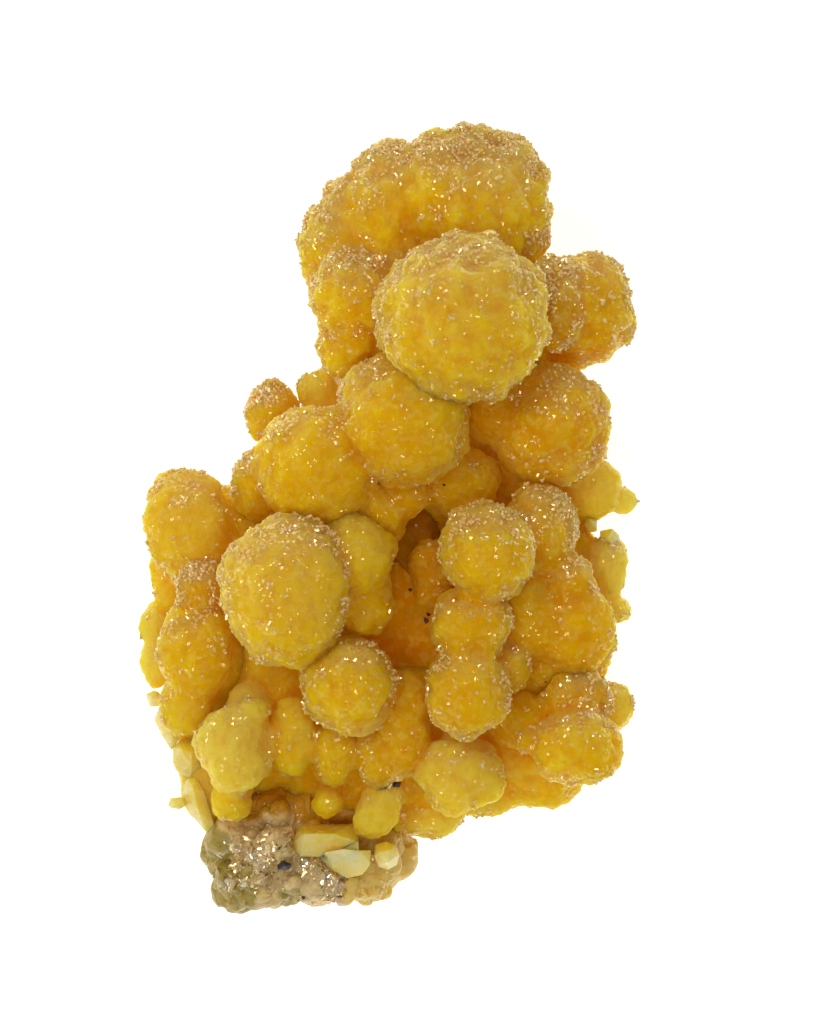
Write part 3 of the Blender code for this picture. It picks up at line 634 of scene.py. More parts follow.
def mimetite_material():
    """Translucent yellow crystal whose tone, frost and hollows come from the skin's own attributes; its
    hollows take painted shade and a painted glow.
    """
    finish = Finish("mimetite_crystal", {
        "Roughness": 0.5, "Specular IOR Level": 0.0, "Emission Strength": PAINTED_CREASE_GLOW,
        "Subsurface Weight": 1.0, "Subsurface Radius": (1.0, 0.75, 0.12), "Subsurface Scale": 2.6 * MM})
    paint = colours()
    tone, frost, hollow, facing, upward = finish.stored("tone", "frost", "hollow", "facing", "upward")
    cloud, haze, cluster, fine = finish.noises((400.0, 2.0), (1500.0, 3.0), (950.0, 3.0), (3600.0, 3.0))
    stretched = finish.node("ShaderNodeMapping", None, {"Vector": finish.place, "Scale": (1.5, 0.7, 1.2)})
    streak = finish.node("ShaderNodeTexNoise", None, {"Vector": stretched, "Scale": 2100.0, "Detail": 4.0})
    fleck = finish.node("ShaderNodeSeparateColor", None, {"Color": finish.cells(5200.0)}, "Red")
    aside = 1.0 - facing.step(0.1, 0.95)
    # Painted shade on the sides turned from the viewer, painted light on those turned to the specimen's top
    warm = tone + (cloud - 0.5) * TONE_CLOUDS + aside * PAINTED_SIDE_SHADE - upward * PAINTED_TOP_LIGHT
    body = finish.ramp(warm.clamp(), (0.0, paint.lemon), (0.5, paint.gold), (1.0, paint.amber))
    # Frost colour: partly real frosting, partly painted sheen on the tops, the edges and where the surface
    # turns aside
    frost_and_rim_sheen = (frost + aside * 0.2 + (haze - 0.5)).step(0.15, 1.0)
    coats = (
        # Painted shade: the crevice colour darkens the hollows between the balls
        (hollow.step(0.35, 0.9) * tone.step(0.1, 0.6) * CREVICE_SHADE_SHARE, paint.crevice_shade),
        (frost_and_rim_sheen * FROST_SHARE, paint.frost),
        (streak.step(0.46, 0.66) * GROOVE_SHARE, paint.groove),
        (fleck.step(0.4, 1.0) * FLECK_SHARE, paint.fleck),
        # Painted shade: tones above 1 take the dark deepest colour
        (tone.step(1.0, 1.15) * DEEP_HOLLOW_SHADE_SHARE, paint.deepest))
    for share, colour in coats:
        body = share.mix(body, colour)
    finish.plug(body, "Base Color")
    # Painted glow: the hollows emit their own body colour, standing in for light that comes through the
    # crystal
    crease_glow = finish.vector("SCALE", {0: body, "Scale": hollow.step(0.45, 0.9)})
    finish.plug(crease_glow, "Emission Color")
    finish.bump(fine + fleck * 0.3, 0.65, 0.06 * MM)
    tilted, pick = finish.facets(9000.0, 1.3)
    wanted = (frost + aside * 0.5 + 0.15).clamp() * (1.0 - hollow.step(0.5, 0.9))
    amount = pick.step(0.2, 0.7) * (cluster.step(0.44, 0.58) * 0.85 + 0.15) * wanted * GLINT_SHARE
    finish.glints(tilted, amount, (1.0, 0.80, 0.50), 0.10)
    return finish.made


def clouded_finish(name, waves, even, *stops):
    """A finish whose colour goes over from one to the next in small clouds, and those clouds."""
    finish = Finish(name, even)
    cloud, = finish.noises((waves, 3.0))
    finish.plug(finish.ramp(cloud, *stops), "Base Color")
    return finish, cloud


def flake_material():
    """The rock's own pale flakes: clear, with flat faces that mirror the lights."""
    even = {"Roughness": 0.14, "Metallic": 0.4, "IOR": 2.0}
    stops = (0.35, colours().rock_pale), (0.6, colours().flake)
    return clouded_finish("rock_flake", 1400.0, even, *stops)[0].made


def sugar_material():
    """The small pale crystals that frost the balls: glassy, with flat faces that catch the light."""
    even = {"Roughness": 0.12, "IOR": 2.6, "Specular Tint": (1.0, 0.78, 0.52, 1.0)}
    stops = (0.28, colours().fleck), (0.62, colours().sugar)
    return clouded_finish("sugar_frost", 3000.0, even, *stops)[0].made


def rock_material():
    """Pale granular rock with stains, a purplish patch, a lemon crust, bright flakes and painted shadow under
    the lower balls.
    """
    finish = Finish("pale_rock", {
        "Roughness": 0.4, "Specular IOR Level": 0.4,
        "Subsurface Weight": 0.6, "Subsurface Radius": (1.0, 0.75, 0.4), "Subsurface Scale": 0.5 * MM})
    paint = colours()
    stain, shade, flaky, crusted, cave = finish.stored("stain", "shade", "flaky", "crusted", "cave")
    broad, fine, ragged = finish.noises((700.0, 4.0), (3200.0, 4.0), (1300.0, 4.0))
    coats = (
        ((stain + (ragged - 0.5) * 1.2).step(0.25, 0.75), paint.rock_stain),
        ((shade + (broad - 0.5)).step(0.3, 0.8), paint.rock_shade),
        (fine.step(0.56, 0.68) * (flaky * 0.8 + 0.15), paint.rock_pit),
        ((crusted + (ragged - 0.5) * 0.8).step(0.35, 0.65), paint.rock_crust),
        # Painted shadow under the lower balls
        ((cave + (ragged - 0.5) * 0.8).step(0.35, 0.65), paint.rock_cave_shadow))
    body = broad.step(0.38, 0.62).mix(paint.rock, paint.rock_pale)
    for share, colour in coats:
        body = share.mix(body, colour)
    finish.plug(body, "Base Color")
    tilted, pick = finish.facets(4200.0, 1.1)
    amount = pick.step(0.3, 0.9) * (flaky * 0.8 + 0.12) * ragged.step(0.4, 0.6) * 0.8
    finish.glints(tilted, amount, (1.0, 0.95, 0.88), 0.12)
    return finish.made


def crystal_material():
    """Pale glassy crystal with faint growth lines."""
    finish = Finish("pale_crystal", {
        "IOR": 1.6, "Subsurface Weight": 1.0, "Subsurface Radius": (1.0, 0.85, 0.35),
        "Subsurface Scale": 1.0 * MM})
    paint = colours()
    cloud, veil = finish.noises((900.0, 4.0), (2600.0, 5.0))
    stops = (0.34, paint.lemon), (0.48, paint.pale_crystal), (0.62, paint.milk)
    body = finish.ramp(cloud * 0.7 + veil * 0.3, *stops)
    normal = finish.node("ShaderNodeNewGeometry", result="Normal")
    upward = finish.node("ShaderNodeSeparateXYZ", None, {"Vector": normal}, "Y")
    # Painted light: faces turned up the picture take the top-face colour
    finish.plug((upward.step(0.2, 0.7) * 0.7).mix(body, paint.top_face_light), "Base Color")
    finish.plug(veil.step(0.3, 0.7) * 0.2 + 0.12, "Roughness")
    finish.bump(veil, 0.5, 0.08 * MM)
    return finish.made


def grain_material():
    """Nearly black mineral with a dull shine."""
    stops = (0.35, colours().grain), (0.7, colours().grain_light)
    finish, cloud = clouded_finish("dark_grain", 4000.0, {}, *stops)
    finish.plug(cloud * 0.4 + 0.15, "Roughness")
    return finish.made


def even_directions(count):
    """Unit vectors spread evenly over a sphere, along a golden-angle spiral."""
    step = np.arange(count) + 0.5
    height = 1.0 - 2.0 * step / count
    ring = np.sqrt(1.0 - height * height)
    turn = math.pi * (3.0 - math.sqrt(5.0)) * step
    return np.column_stack((ring * np.cos(turn), ring * np.sin(turn), height))


def round_mesh(subdivisions):
    """A unit ball's points and triangles."""
    shape = bmesh.new()
    bmesh.ops.create_icosphere(shape, subdivisions=subdivisions, radius=1.0)
    points = np.array([corner.co for corner in shape.verts])
    shape.verts.index_update()
    faces = np.array([[corner.index for corner in face.verts] for face in shape.faces])
    shape.free()
    return points, faces


def radii(ball):
    """The three radii of a ball, or of a flatter mass of crust."""
    return np.array((ball.across, ball.along, ball.deep or min(ball.across, ball.along)))


def ball_rounds(ball):
    """The ball and the narrowing rounds of its neck, each as centre and radii."""
    centre = np.array((ball.x, ball.y, ball.z))
    rounds = [(centre, radii(ball))]
    if ball.deep:
        return rounds
    depth = min(ball.across, ball.along)
    root = np.array((ball.x * (1.0 - ROOT_PULL), ball.y * (1.0 - ROOT_PULL), min(ROOT_HEIGHT, ball.z)))
    for step in range(1, ROOT_STEPS + 1):
        share = step / ROOT_STEPS
        radius = depth * (1.0 + (ROOT_WIDTH - 1.0) * share)
        rounds.append((centre + (root - centre) * share, np.full(3, radius)))
    return rounds


def turned_by(lean):
    """A turn about Z as a matrix."""
    return np.array(Matrix.Rotation(math.radians(lean), 3, "Z"))


def joined_rounds(balls):
    """One object of all the overlapping rounds of some balls, in metres."""
    unit, unit_faces = round_mesh(ROUND_LEVEL)
    points, faces = [], []
    for ball in balls.values():
        for centre, reach in ball_rounds(ball):
            faces.append(unit_faces + len(unit) * len(points))
            points.append(centre + (unit * reach) @ turned_by(ball.lean).T)
    return plain_object("rounds", np.concatenate(points) * MM, np.concatenate(faces))


def linked(name, data):
    """A new object of the scene."""
    made = bpy.data.objects.new(name, data)
    bpy.context.collection.objects.link(made)
    return made


def named(made, name):
    """Give an object and its mesh their name."""
    made.name = name
    made.data.name = name
    return made


def plain_object(name, points, faces):
    """An object from points in metres and faces of equal length."""
    mesh = bpy.data.meshes.new(name)
    mesh.from_pydata(points.tolist(), [], faces.tolist())
    return linked(name, mesh)


def apply_modifiers(made):
    """Replace an object's mesh by the one its modifiers give."""
    seen = made.evaluated_get(bpy.context.evaluated_depsgraph_get())
    result = bpy.data.meshes.new_from_object(seen)
    made.modifiers.clear()
    made.data = result
    return made


def common_skin(made, cell):
    """Draw overlapping shells again as one closed skin, with its creases eased a little."""
    remesh = made.modifiers.new("skin", "REMESH")
    remesh.mode = "VOXEL"
    remesh.voxel_size = cell
    ease = made.modifiers.new("ease", "SMOOTH")
    ease.factor = EASE_FACTOR
    ease.iterations = EASE_ROUNDS
    return apply_modifiers(made)


def cut_flat(made, place, normal):
    """Cut away what lies behind a plane through a place in metres, and close the cut."""
    shape = bmesh.new()
    shape.from_mesh(made.data)
    everything = shape.verts[:] + shape.edges[:] + shape.faces[:]
    cut = bmesh.ops.bisect_plane(shape, geom=everything, plane_co=place, plane_no=normal, clear_inner=True)
    rim = [item for item in cut["geom_cut"] if isinstance(item, bmesh.types.BMEdge)]
    bmesh.ops.triangle_fill(shape, edges=rim, use_beauty=False)
    bmesh.ops.recalc_face_normals(shape, faces=shape.faces)
    shape.to_mesh(made.data)
    shape.free()


def hollowness(places, normals, randoms):
    """How shut in each place is, from 0 in the open to 1 in a deep hollow, by rays against the solids."""
    points, faces = [], []
    for node in frame["nodes"].values():
        mesh = node.data
        faces += [tuple(corner + len(points) for corner in face.vertices) for face in mesh.polygons]
        points += [corner.co / MM for corner in mesh.vertices]
    solids = BVHTree.FromPolygons(points, faces)
    samples = spread_seeds(places, HOLLOW_SPACING, randoms)
    rays = even_directions(HOLLOW_RAYS)
    tree = kdtree.KDTree(len(samples))
    shut = np.empty(len(samples))
    for number, sample in enumerate(samples):
        normal = normals[sample]
        start = Vector(places[sample] + normal * HOLLOW_LIFT)
        facing = rays[rays @ normal > HOLLOW_SLANT]
        hits = sum(solids.ray_cast(start, Vector(ray), HOLLOW_REACH)[0] is not None for ray in facing)
        shut[number] = hits / len(facing)
        tree.insert(places[sample], number)
    tree.balance()
    values = np.empty(len(places))
    for number, place in enumerate(places):
        near = tree.find_n(place, HOLLOW_NEAREST)
        weights = [1.0 / (hit[2] + HOLLOW_BLEND) for hit in near]
        values[number] = sum(weight * shut[hit[1]] for weight, hit in zip(weights, near)) / sum(weights)
    return values


def corner_places(mesh):
    """A mesh's points as rows, in millimetres."""
    places = np.empty(len(mesh.vertices) * 3, np.float32)
    mesh.vertices.foreach_get("co", places)
    return places.reshape(-1, 3).astype(float) / MM


def corner_normals(mesh):
    """A mesh's point normals as rows."""
    normals = np.empty(len(mesh.vertices) * 3, np.float32)
    mesh.vertex_normals.foreach_get("vector", normals)
    return normals.reshape(-1, 3).astype(float)


def set_places(mesh, places):
    """Move a mesh's points to rows in millimetres."""
    mesh.vertices.foreach_set("co", (places * MM).astype(np.float32).ravel())
    mesh.update()


def store(mesh, **columns):
    """Keep numbers for each point, under their names."""
    for name, values in columns.items():
        layer = mesh.attributes.new(name, "FLOAT", "POINT")
        layer.data.foreach_set("value", np.asarray(values, np.float32))


def nearness(places, balls):
    """For each place and ball, the rough distance outside the ball's own surface."""
    table = np.empty((len(places), len(balls)), np.float32)
    for number, ball in enumerate(balls):
        reach = radii(ball)
        offset = (places - (ball.x, ball.y, ball.z)) @ turned_by(ball.lean)
        inside = np.sqrt(((offset / reach) ** 2).sum(1)) + 1e-6
        slope = np.sqrt(((offset / reach ** 2) ** 2).sum(1)) + 1e-6
        table[:, number] = inside * (inside - 1.0) / slope
    return table


def smooth_rise(values, low, high):
    """0 up to low, 1 from high, and a smooth curve between."""
    share = np.clip((values - low) / (high - low), 0.0, 1.0)
    return share * share * (3.0 - 2.0 * share)


def from_least(least, values):
    """Values from 0 to 1 moved up, so that 0 gives the least and 1 stays 1."""
    return least + (1.0 - least) * values


def spread_seeds(places, width, randoms):
    """One point of the surface in each small cube of a grid, picked at random."""
    order = randoms.permutation(len(places))
    cells = np.floor(places[order] / width).astype(np.int64)
    cells -= cells.min(0)
    span = cells.max(0) + 1
    keys = (cells[:, 0] * span[1] + cells[:, 1]) * span[2] + cells[:, 2]
    _, first = np.unique(keys, return_index=True)
    return np.sort(order[first])


def druse_heights(places, normals, width, steepness, randoms, neighbours=4):
    """Height of a crust of small tilted crystals over each point.

    Every crystal is a tilted flat top with six bevelled sides. Where crystals overlap the higher one shows.
    """
    seeds = spread_seeds(places, width, randoms)
    tree = kdtree.KDTree(len(seeds))
    for number, seed in enumerate(seeds):
        tree.insert(places[seed], number)
    tree.balance()
    nearest = np.array([[hit[1] for hit in tree.find_n(place, neighbours)] for place in places])
    count = len(seeds)
    axis = np.cross(normals[seeds], randoms.normal(size=(count, 3)))
    axis /= np.linalg.norm(axis, axis=1, keepdims=True) + 1e-9
    second = np.cross(normals[seeds], axis)
    slope = randoms.uniform(0.0, steepness, count)[:, None] * axis
    rise = randoms.uniform(*DRUSE_RISE, count)
    reach = randoms.uniform(*DRUSE_REACH, count) * width
    height = np.full(len(places), -1.0)
    for column in range(neighbours):
        seed = nearest[:, column]
        offset = places - places[seeds[seed]]
        along = (offset * axis[seed]).sum(1)
        across = (offset * second[seed]).sum(1)
        slant, turned = HEX_SIDE[0] * along, HEX_SIDE[1] * across
        sides = np.maximum(np.abs(along), np.maximum(np.abs(slant + turned), np.abs(slant - turned)))
        top = rise[seed] + (offset * slope[seed]).sum(1) / width
        crystal_top = top - np.maximum(0.0, sides - reach[seed]) * DRUSE_BEVEL / width
        height = np.maximum(height, crystal_top)
    return np.clip(height, *DRUSE_LIMITS)


def two_druses(places, normals, width, kinds, randoms):
    """Heights around 0 of a crust of small crystals and of one of large ones."""
    kinds = [(share * width / MM, steepness) for share, steepness in kinds]
    return [druse_heights(places, normals, *kind, randoms) - 0.5 for kind in kinds]


def new_tree(name, **inputs):
    """A geometry tree with a mesh in and a mesh out, and named inputs by the kind of their sockets."""
    tree = bpy.data.node_groups.new(name, "GeometryNodeTree")
    tree.interface.new_socket("Geometry", in_out="INPUT", socket_type="NodeSocketGeometry")
    for kind, labels in inputs.items():
        for label in labels:
            tree.interface.new_socket(label, in_out="INPUT", socket_type="NodeSocket" + kind)
    tree.interface.new_socket("Geometry", in_out="OUTPUT", socket_type="NodeSocketGeometry")
    wire = Wire(tree)
    return tree, wire, wire.node("NodeGroupInput", result="Geometry")


def swell_tree():
    """A node tree that lifts a surface into broad lumps and smaller knobs, and stores where it is rough."""
    tree, wire, given = new_tree("swelling", Float=(*LUMP_INPUTS, "Seed"))
    broad_width, broad_height, knob_width, knob_height = (given.other(label) for label in LUMP_INPUTS)
    place = wire.node("GeometryNodeInputPosition")
    normal = wire.node("GeometryNodeInputNormal", result="Normal")
    knobby = wire.node("GeometryNodeInputNamedAttribute", FLOATS, {"Name": "knobby"}, "Attribute")

    def lumps(width, offset, detail):
        values = {"Vector": place, "W": given.other("Seed") + offset, "Scale": 1.0 / width, "Detail": detail}
        return wire.node("ShaderNodeTexNoise", {"noise_dimensions": "4D"}, values) - 0.5

    lift = lumps(broad_width, 0.0, 1.0) * 2.0 * broad_height
    lift = lift + lumps(knob_width, 3.0, 1.0) * 2.0 * knob_height * knobby
    push = wire.vector("SCALE", {0: normal, "Scale": lift})
    moved = wire.node("GeometryNodeSetPosition", None, {"Geometry": given, "Offset": push})
    rough = lumps(broad_width * PATCH_WIDTH, 6.0, 3.0) + 0.5
    values = {"Geometry": moved, "Name": "patch", "Value": rough}
    kept = wire.node("GeometryNodeStoreNamedAttribute", {**FLOATS, "domain": "POINT"}, values)
    wire.node("NodeGroupOutput", None, {"Geometry": kept}, None)
    return tree


def frost_tree():
    """A node tree that grows small six-sided crystals in clusters on a skin, where an attribute says so."""
    labels = ("Spacing", "Width", "Height", "Slenderness", "Lean")
    others = {"Int": ("Seed",), "String": ("Where",), "Material": ("Material",)}
    tree, wire, given = new_tree("frosting", Float=labels, **others)
    spacing, width, height, slenderness, lean = (given.other(label) for label in labels)
    seed = given.other("Seed")
    grow = wire.node("GeometryNodeInputNamedAttribute", FLOATS, {"Name": given.other("Where")}, "Attribute")
    place = wire.node("GeometryNodeInputPosition")
    cluster = wire.node("ShaderNodeTexNoise", None, {"Vector": place, "Scale": FROST_CLUSTERS, "Detail": 1.0})
    dense = (cluster.step(0.50, 0.60) + grow.step(0.5, 0.95) * 0.6).clamp() * grow.step(0.1, 0.65)
    values = {"Mesh": given, "Distance Min": spacing, "Density Factor": dense, "Seed": seed}
    values["Density Max"] = FROST_DENSITY / (spacing * spacing)
    apart = {"distribute_method": "POISSON"}
    spots = wire.node("GeometryNodeDistributePointsOnFaces", apart, values, "Points")
    low = wire.combine(lean * -1.0, lean * -1.0, -math.pi)
    high = wire.combine(lean, lean, math.pi)
    values = {"Min": low, "Max": high, "Seed": seed}
    turn = wire.node("FunctionNodeRandomValue", {"data_type": "FLOAT_VECTOR"}, values)
    turn = wire.node("FunctionNodeEulerToRotation", None, {"Euler": turn})
    values = {"Rotation": spots.other("Rotation"), "Rotate By": turn}
    turned = wire.node("FunctionNodeRotateRotation", {"rotation_space": "LOCAL"}, values)
    values = {"Vertices": 6, "Radius Top": width * FROST_TIP, "Radius Bottom": width * 0.5, "Depth": height}
    crystal = wire.node("GeometryNodeMeshCone", None, values, "Mesh")
    sunk = {"Geometry": crystal, "Translation": wire.combine(0.0, 0.0, height * -FROST_SUNK)}
    crystal = wire.node("GeometryNodeTransform", None, sunk)
    values = {"Min_001": FROST_SIZES[0], "Max_001": FROST_SIZES[1], "Seed": seed + 1.0}
    size = wire.node("FunctionNodeRandomValue", FLOATS, values, "Value_001")
    shape = wire.vector("SCALE", {0: wire.combine(slenderness, 1.0, 1.0), "Scale": size})
    values = {"Points": spots, "Instance": crystal, "Rotation": turned, "Scale": shape}
    grown = wire.node("GeometryNodeInstanceOnPoints", None, values)
    solid = wire.node("GeometryNodeRealizeInstances", None, {"Geometry": grown})
    painted = {"Geometry": solid, "Material": given.other("Material")}
    painted = wire.node("GeometryNodeSetMaterial", None, painted)
    wire.node("NodeGroupOutput", None, {"Geometry": painted}, None)
    return tree


def run_tree(made, tree, inputs):
    """Run a node tree on an object with named inputs, and keep its result as a plain mesh."""
    modifier = made.modifiers.new(tree.name, "NODES")
    modifier.node_group = tree
    for item in tree.interface.items_tree:
        if item.in_out == "INPUT" and item.name in inputs:
            modifier[item.identifier] = inputs[item.name]
    return apply_modifiers(made)


def swell(made, knobby, lumps, seed):
    """Lift a skin into lumps and knobs; give its new places, its normals and where it is rough."""
    store(made.data, knobby=knobby)
    run_tree(made, swell_tree(), {**dict(zip(LUMP_INPUTS, lumps)), "Seed": float(seed)})
    mesh = made.data
    patch = np.empty(len(mesh.vertices), np.float32)
    mesh.attributes["patch"].data.foreach_get("value", patch)
    for passing in ("patch", "knobby"):
        mesh.attributes.remove(mesh.attributes[passing])
    return corner_places(mesh), corner_normals(mesh), patch


def dress_group(name, balls, randoms):
    """One closed, frosted skin over a group of balls, with its tone, frost and hollows stored."""
    scale = sizes()
    made = common_skin(joined_rounds(balls), scale.skin_cell)
    cut_flat(made, (0.0, 0.0, CUT_HEIGHT * MM), (0.0, 0.0, 1.0))
    smooth = corner_normals(made.data)
    facing, north = smooth[:, 2], smooth[:, 1]
    every = [ball for group in BALLS.values() for ball in group.values()]
    share = np.exp(-nearness(corner_places(made.data), every) / BLEND_WIDTH)
    reach = (share * [min(ball.across, ball.along) for ball in every]).sum(1) / share.sum(1)
    knobs = scale.knob * KNOBBLY.get(name, 1.0)
    lumps = (scale.broad_width, scale.broad_lump, scale.knob_width, knobs)
    places, normals, patch = swell(made, smooth_rise(reach, *KNOBBY_REACH), lumps, scale.seed)
    near = nearness(places, every)
    tone, frost = np.array([(ball.tone, ball.frost) for ball in every])[near.argmin(1)].T
    hollow = hollowness(places, smooth, randoms)
    upward = smooth_rise(north, -0.2, 0.9)
    edge = 1.0 - smooth_rise(facing, 0.15, 0.75)
    # Frost colour lies on the tops and edges: partly real frosting, partly painted sheen where light falls
    # and grazes
    frost_and_sheen = frost * from_least(FROST_LEAST, np.maximum(upward, EDGE_FROST * edge))
    frost_and_sheen *= 1.0 - HOLLOW_FADE * smooth_rise(hollow, 0.3, 0.8)
    rough = from_least(ROUGH_LEAST, frost) * smooth_rise(patch, 0.25, 0.75)
    calm = 1.0 - FRONT_CALM * smooth_rise(facing, 0.35, 0.8)
    small, large = two_druses(places, normals, scale.druse_width, DRUSES, randoms)
    lift = small * from_least(SMALL_LEAST, rough) + large * LARGE_SHARE * rough
    lift = lift * calm * scale.druse_height / MM
    rim = edge * from_least(RIM_LEAST, smooth_rise(north, -0.7, 0.0))
    grow = frost * from_least(GROW_LEAST, np.maximum(upward, rim)) * smooth_rise(patch, 0.2, 0.55)
    grow *= 1.0 - smooth_rise(hollow, 0.5, 0.85)
    others = np.array([name != "mimetite_" + group for group in BALLS for ball in BALLS[group]])
    buried = near[:, others].min(1) < BURIED_DEPTH
    grow[buried | (places[:, 2] < FROST_LOWEST)] = 0.0
    set_places(made.data, places + normals * lift[:, None])
    store(made.data, tone=tone, frost=frost_and_sheen, hollow=hollow, facing=facing, upward=north, grow=grow)
    soften(made.data, normals)
    return named(made, name)


def soften(mesh, smooth):
    """Shade a skin mostly by its smoother form, as light inside the crystal evens out small relief."""
    mesh.shade_smooth()
    mixed = smooth * SOFT_SHARE + corner_normals(mesh) * (1.0 - SOFT_SHARE)
    mixed /= np.linalg.norm(mixed, axis=1, keepdims=True) + 1e-9
    mesh.normals_split_custom_set_from_vertices(mixed.tolist())


def grow_frost(skin, name, where, material, width, height, spacing, slenderness=1.0):
    """Small crystals on a skin, where one of its attributes says, as a plain mesh of their own."""
    inputs = {"Spacing": spacing, "Width": width, "Height": height, "Lean": sizes().frost_lean}
    inputs.update({"Where": where, "Material": material, "Seed": sizes().seed, "Slenderness": slenderness})
    return named(run_tree(linked(name, skin.data.copy()), frost_tree(), inputs), name)


def patch_strength(places, patches):
    """How strongly some round patches cover each place, from 0 to 1."""
    strength = np.zeros(len(places))
    for patch in patches:
        distance = np.hypot(places[:, 0] - patch.x, places[:, 1] - patch.y)
        strength = np.maximum(strength, 1.0 - smooth_rise(distance, 0.4 * patch.reach, 1.5 * patch.reach))
    return strength


def dress_rock(name, cell, normal, randoms):
    """The rock on one side of the foot's line, granular all over, with its flat back kept flat."""
    scale = sizes()
    made = common_skin(linked(name, frame["nodes"]["matrix"].data.copy()), cell)
    cut_flat(made, (0.0, (FOOT_LINE - FOOT_OVERLAP * normal) * MM, 0.0), (0.0, normal, 0.0))
    even = np.ones(len(made.data.vertices))
    places, normals, _ = swell(made, even, ROCK_LUMPS, scale.seed + ROCK_SEED)
    kinds = (STAINS, SHADES, FLAKES, CRUSTS, CAVE_SHADOWS)
    stain, shade, flaky, crusted, cave = (patch_strength(places, patches) for patches in kinds)
    small, large = two_druses(places, normals, scale.rock_grain, ROCK_DRUSES, randoms)
    lift = small * from_least(SMALL_LEAST, flaky) + ROCK_LARGE_SHARE * large
    lift = lift * scale.rock_relief / MM
    moved = places + normals * lift[:, None]
    moved[:, 2] = np.maximum(moved[:, 2], 0.0)
    set_places(made.data, moved)
    seen = smooth_rise(places[:, 2], 3.0, 4.0) * smooth_rise(normals[:, 2], -0.3, 0.1)
    flakes = flaky * FLAKES_WITHIN + FLAKES_ELSEWHERE - crusted - cave - stain * STAIN_FADE
    sugar = crusted * CRUST_SUGAR - cave
    store(made.data, stain=stain, shade=shade, flaky=flaky, crusted=crusted, cave=cave)
    store(made.data, flakes=seen * np.clip(flakes, 0.0, 1.0), sugar=seen * np.clip(sugar, 0.0, 1.0))
    made.data.shade_flat()
    return named(made, name)


def hull_shape(corners):
    """The convex hull of some corners, as a closed shape."""
    shape = bmesh.new()
    for corner in corners:
        shape.verts.new(corner)
    bmesh.ops.convex_hull(shape, input=shape.verts)
    loose = [corner for corner in shape.verts if not corner.link_faces]
    bmesh.ops.delete(shape, geom=loose, context="VERTS")
    bmesh.ops.dissolve_limit(shape, angle_limit=math.radians(3.0), verts=shape.verts, edges=shape.edges)
    bmesh.ops.recalc_face_normals(shape, faces=shape.faces)
    return shape


def crystal_group(name, crystals):
    """Flat-faced crystals with fine worn edges, joined in one piece."""
    joined = bmesh.new()
    for corners in crystals:
        shape = hull_shape(corners)
        bmesh.ops.scale(shape, vec=(MM, MM, MM), verts=shape.verts)
        mesh = bpy.data.meshes.new("part")
        shape.to_mesh(mesh)
        shape.free()
        joined.from_mesh(mesh)
    mesh = bpy.data.meshes.new(name)
    joined.to_mesh(mesh)
    joined.free()
    made = linked(name, mesh)
    bevel = made.modifiers.new("worn edges", "BEVEL")
    bevel.width = sizes().worn_edge
    bevel.segments = 2
    bevel.limit_method = "ANGLE"
    return named(apply_modifiers(made), name)


def speck_corners(spots, pieces, randoms):
    """Corners of small angular grains that sit on the topmost of some pieces, in millimetres."""
    trees = []
    for made in pieces:
        mesh = made.data
        faces = [tuple(face.vertices) for face in mesh.polygons]
        trees.append(BVHTree.FromPolygons([corner.co / MM for corner in mesh.vertices], faces))
    grains = []
    for spot in spots:
        start = Vector((spot.x, spot.y, HIGH_ABOVE))
        hits = [tree.ray_cast(start, Vector((0.0, 0.0, -1.0)))[0] for tree in trees]
        middle = np.array((spot.x, spot.y, max(hit.z for hit in hits if hit is not None)))
        around = even_directions(SPECK_CORNERS) * randoms.uniform(0.6, 1.0, (SPECK_CORNERS, 1)) * spot.reach
        grains.append([tuple(corner) for corner in middle + around])
    return grains


def frost_sizes():
    """Width, height and spacing of the frosting's crystals."""
    return sizes().frost_width, sizes().frost_height, sizes().frost_spacing


def finish_piece(made, material, slot, *nodes):
    """Give a piece its material and body, and hide the solids that it stands for; the slot is not used."""
    made.data.materials.clear()
    made.data.materials.append(material)
    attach(made, "root")
    if nodes:
        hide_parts(*nodes)


class SPECIMEN_OT_balls(bpy.types.Operator):
    """Make the frosted skins of the yellow balls."""

    bl_idname = "specimen.balls"
    bl_label = "Yellow balls"

    def execute(self, context):
        material = mimetite_material()
        sugar = sugar_material()
        for number, (name, balls) in enumerate(BALLS.items()):
            made = dress_group("mimetite_" + name, balls, np.random.default_rng(sizes().seed + number))
            finish_piece(made, material, "mimetite", "mimetite")
            frost = grow_frost(made, "frost_" + name, "grow", sugar, *frost_sizes())
            finish_piece(frost, sugar, "mimetite")
        return {"FINISHED"}


class SPECIMEN_OT_rock(bpy.types.Operator):
    """Make the granular rock, its foot finer than its plate."""

    bl_idname = "specimen.rock"
    bl_label = "Rock"

    def execute(self, context):
        material = rock_material()
        randoms = np.random.default_rng(sizes().seed + ROCK_DRAWS)
        foot = dress_rock("matrix_foot", sizes().foot_cell, -1.0, randoms)
        plate = dress_rock("matrix_plate", sizes().plate_cell, 1.0, randoms)
        for made in (foot, plate):
            finish_piece(made, material, "matrix", "matrix")
        pale = flake_material()
        thin = (sizes().flake_width, sizes().flake_height, FLAKE_SPACING * sizes().flake_width, FLAKE_SHAPE)
        finish_piece(grow_frost(foot, "rock_flakes", "flakes", pale, *thin), pale, "matrix")
        sweet = sugar_material()
        finish_piece(grow_frost(foot, "crust_frost", "sugar", sweet, *frost_sizes()), sweet, "matrix")
        return {"FINISHED"}


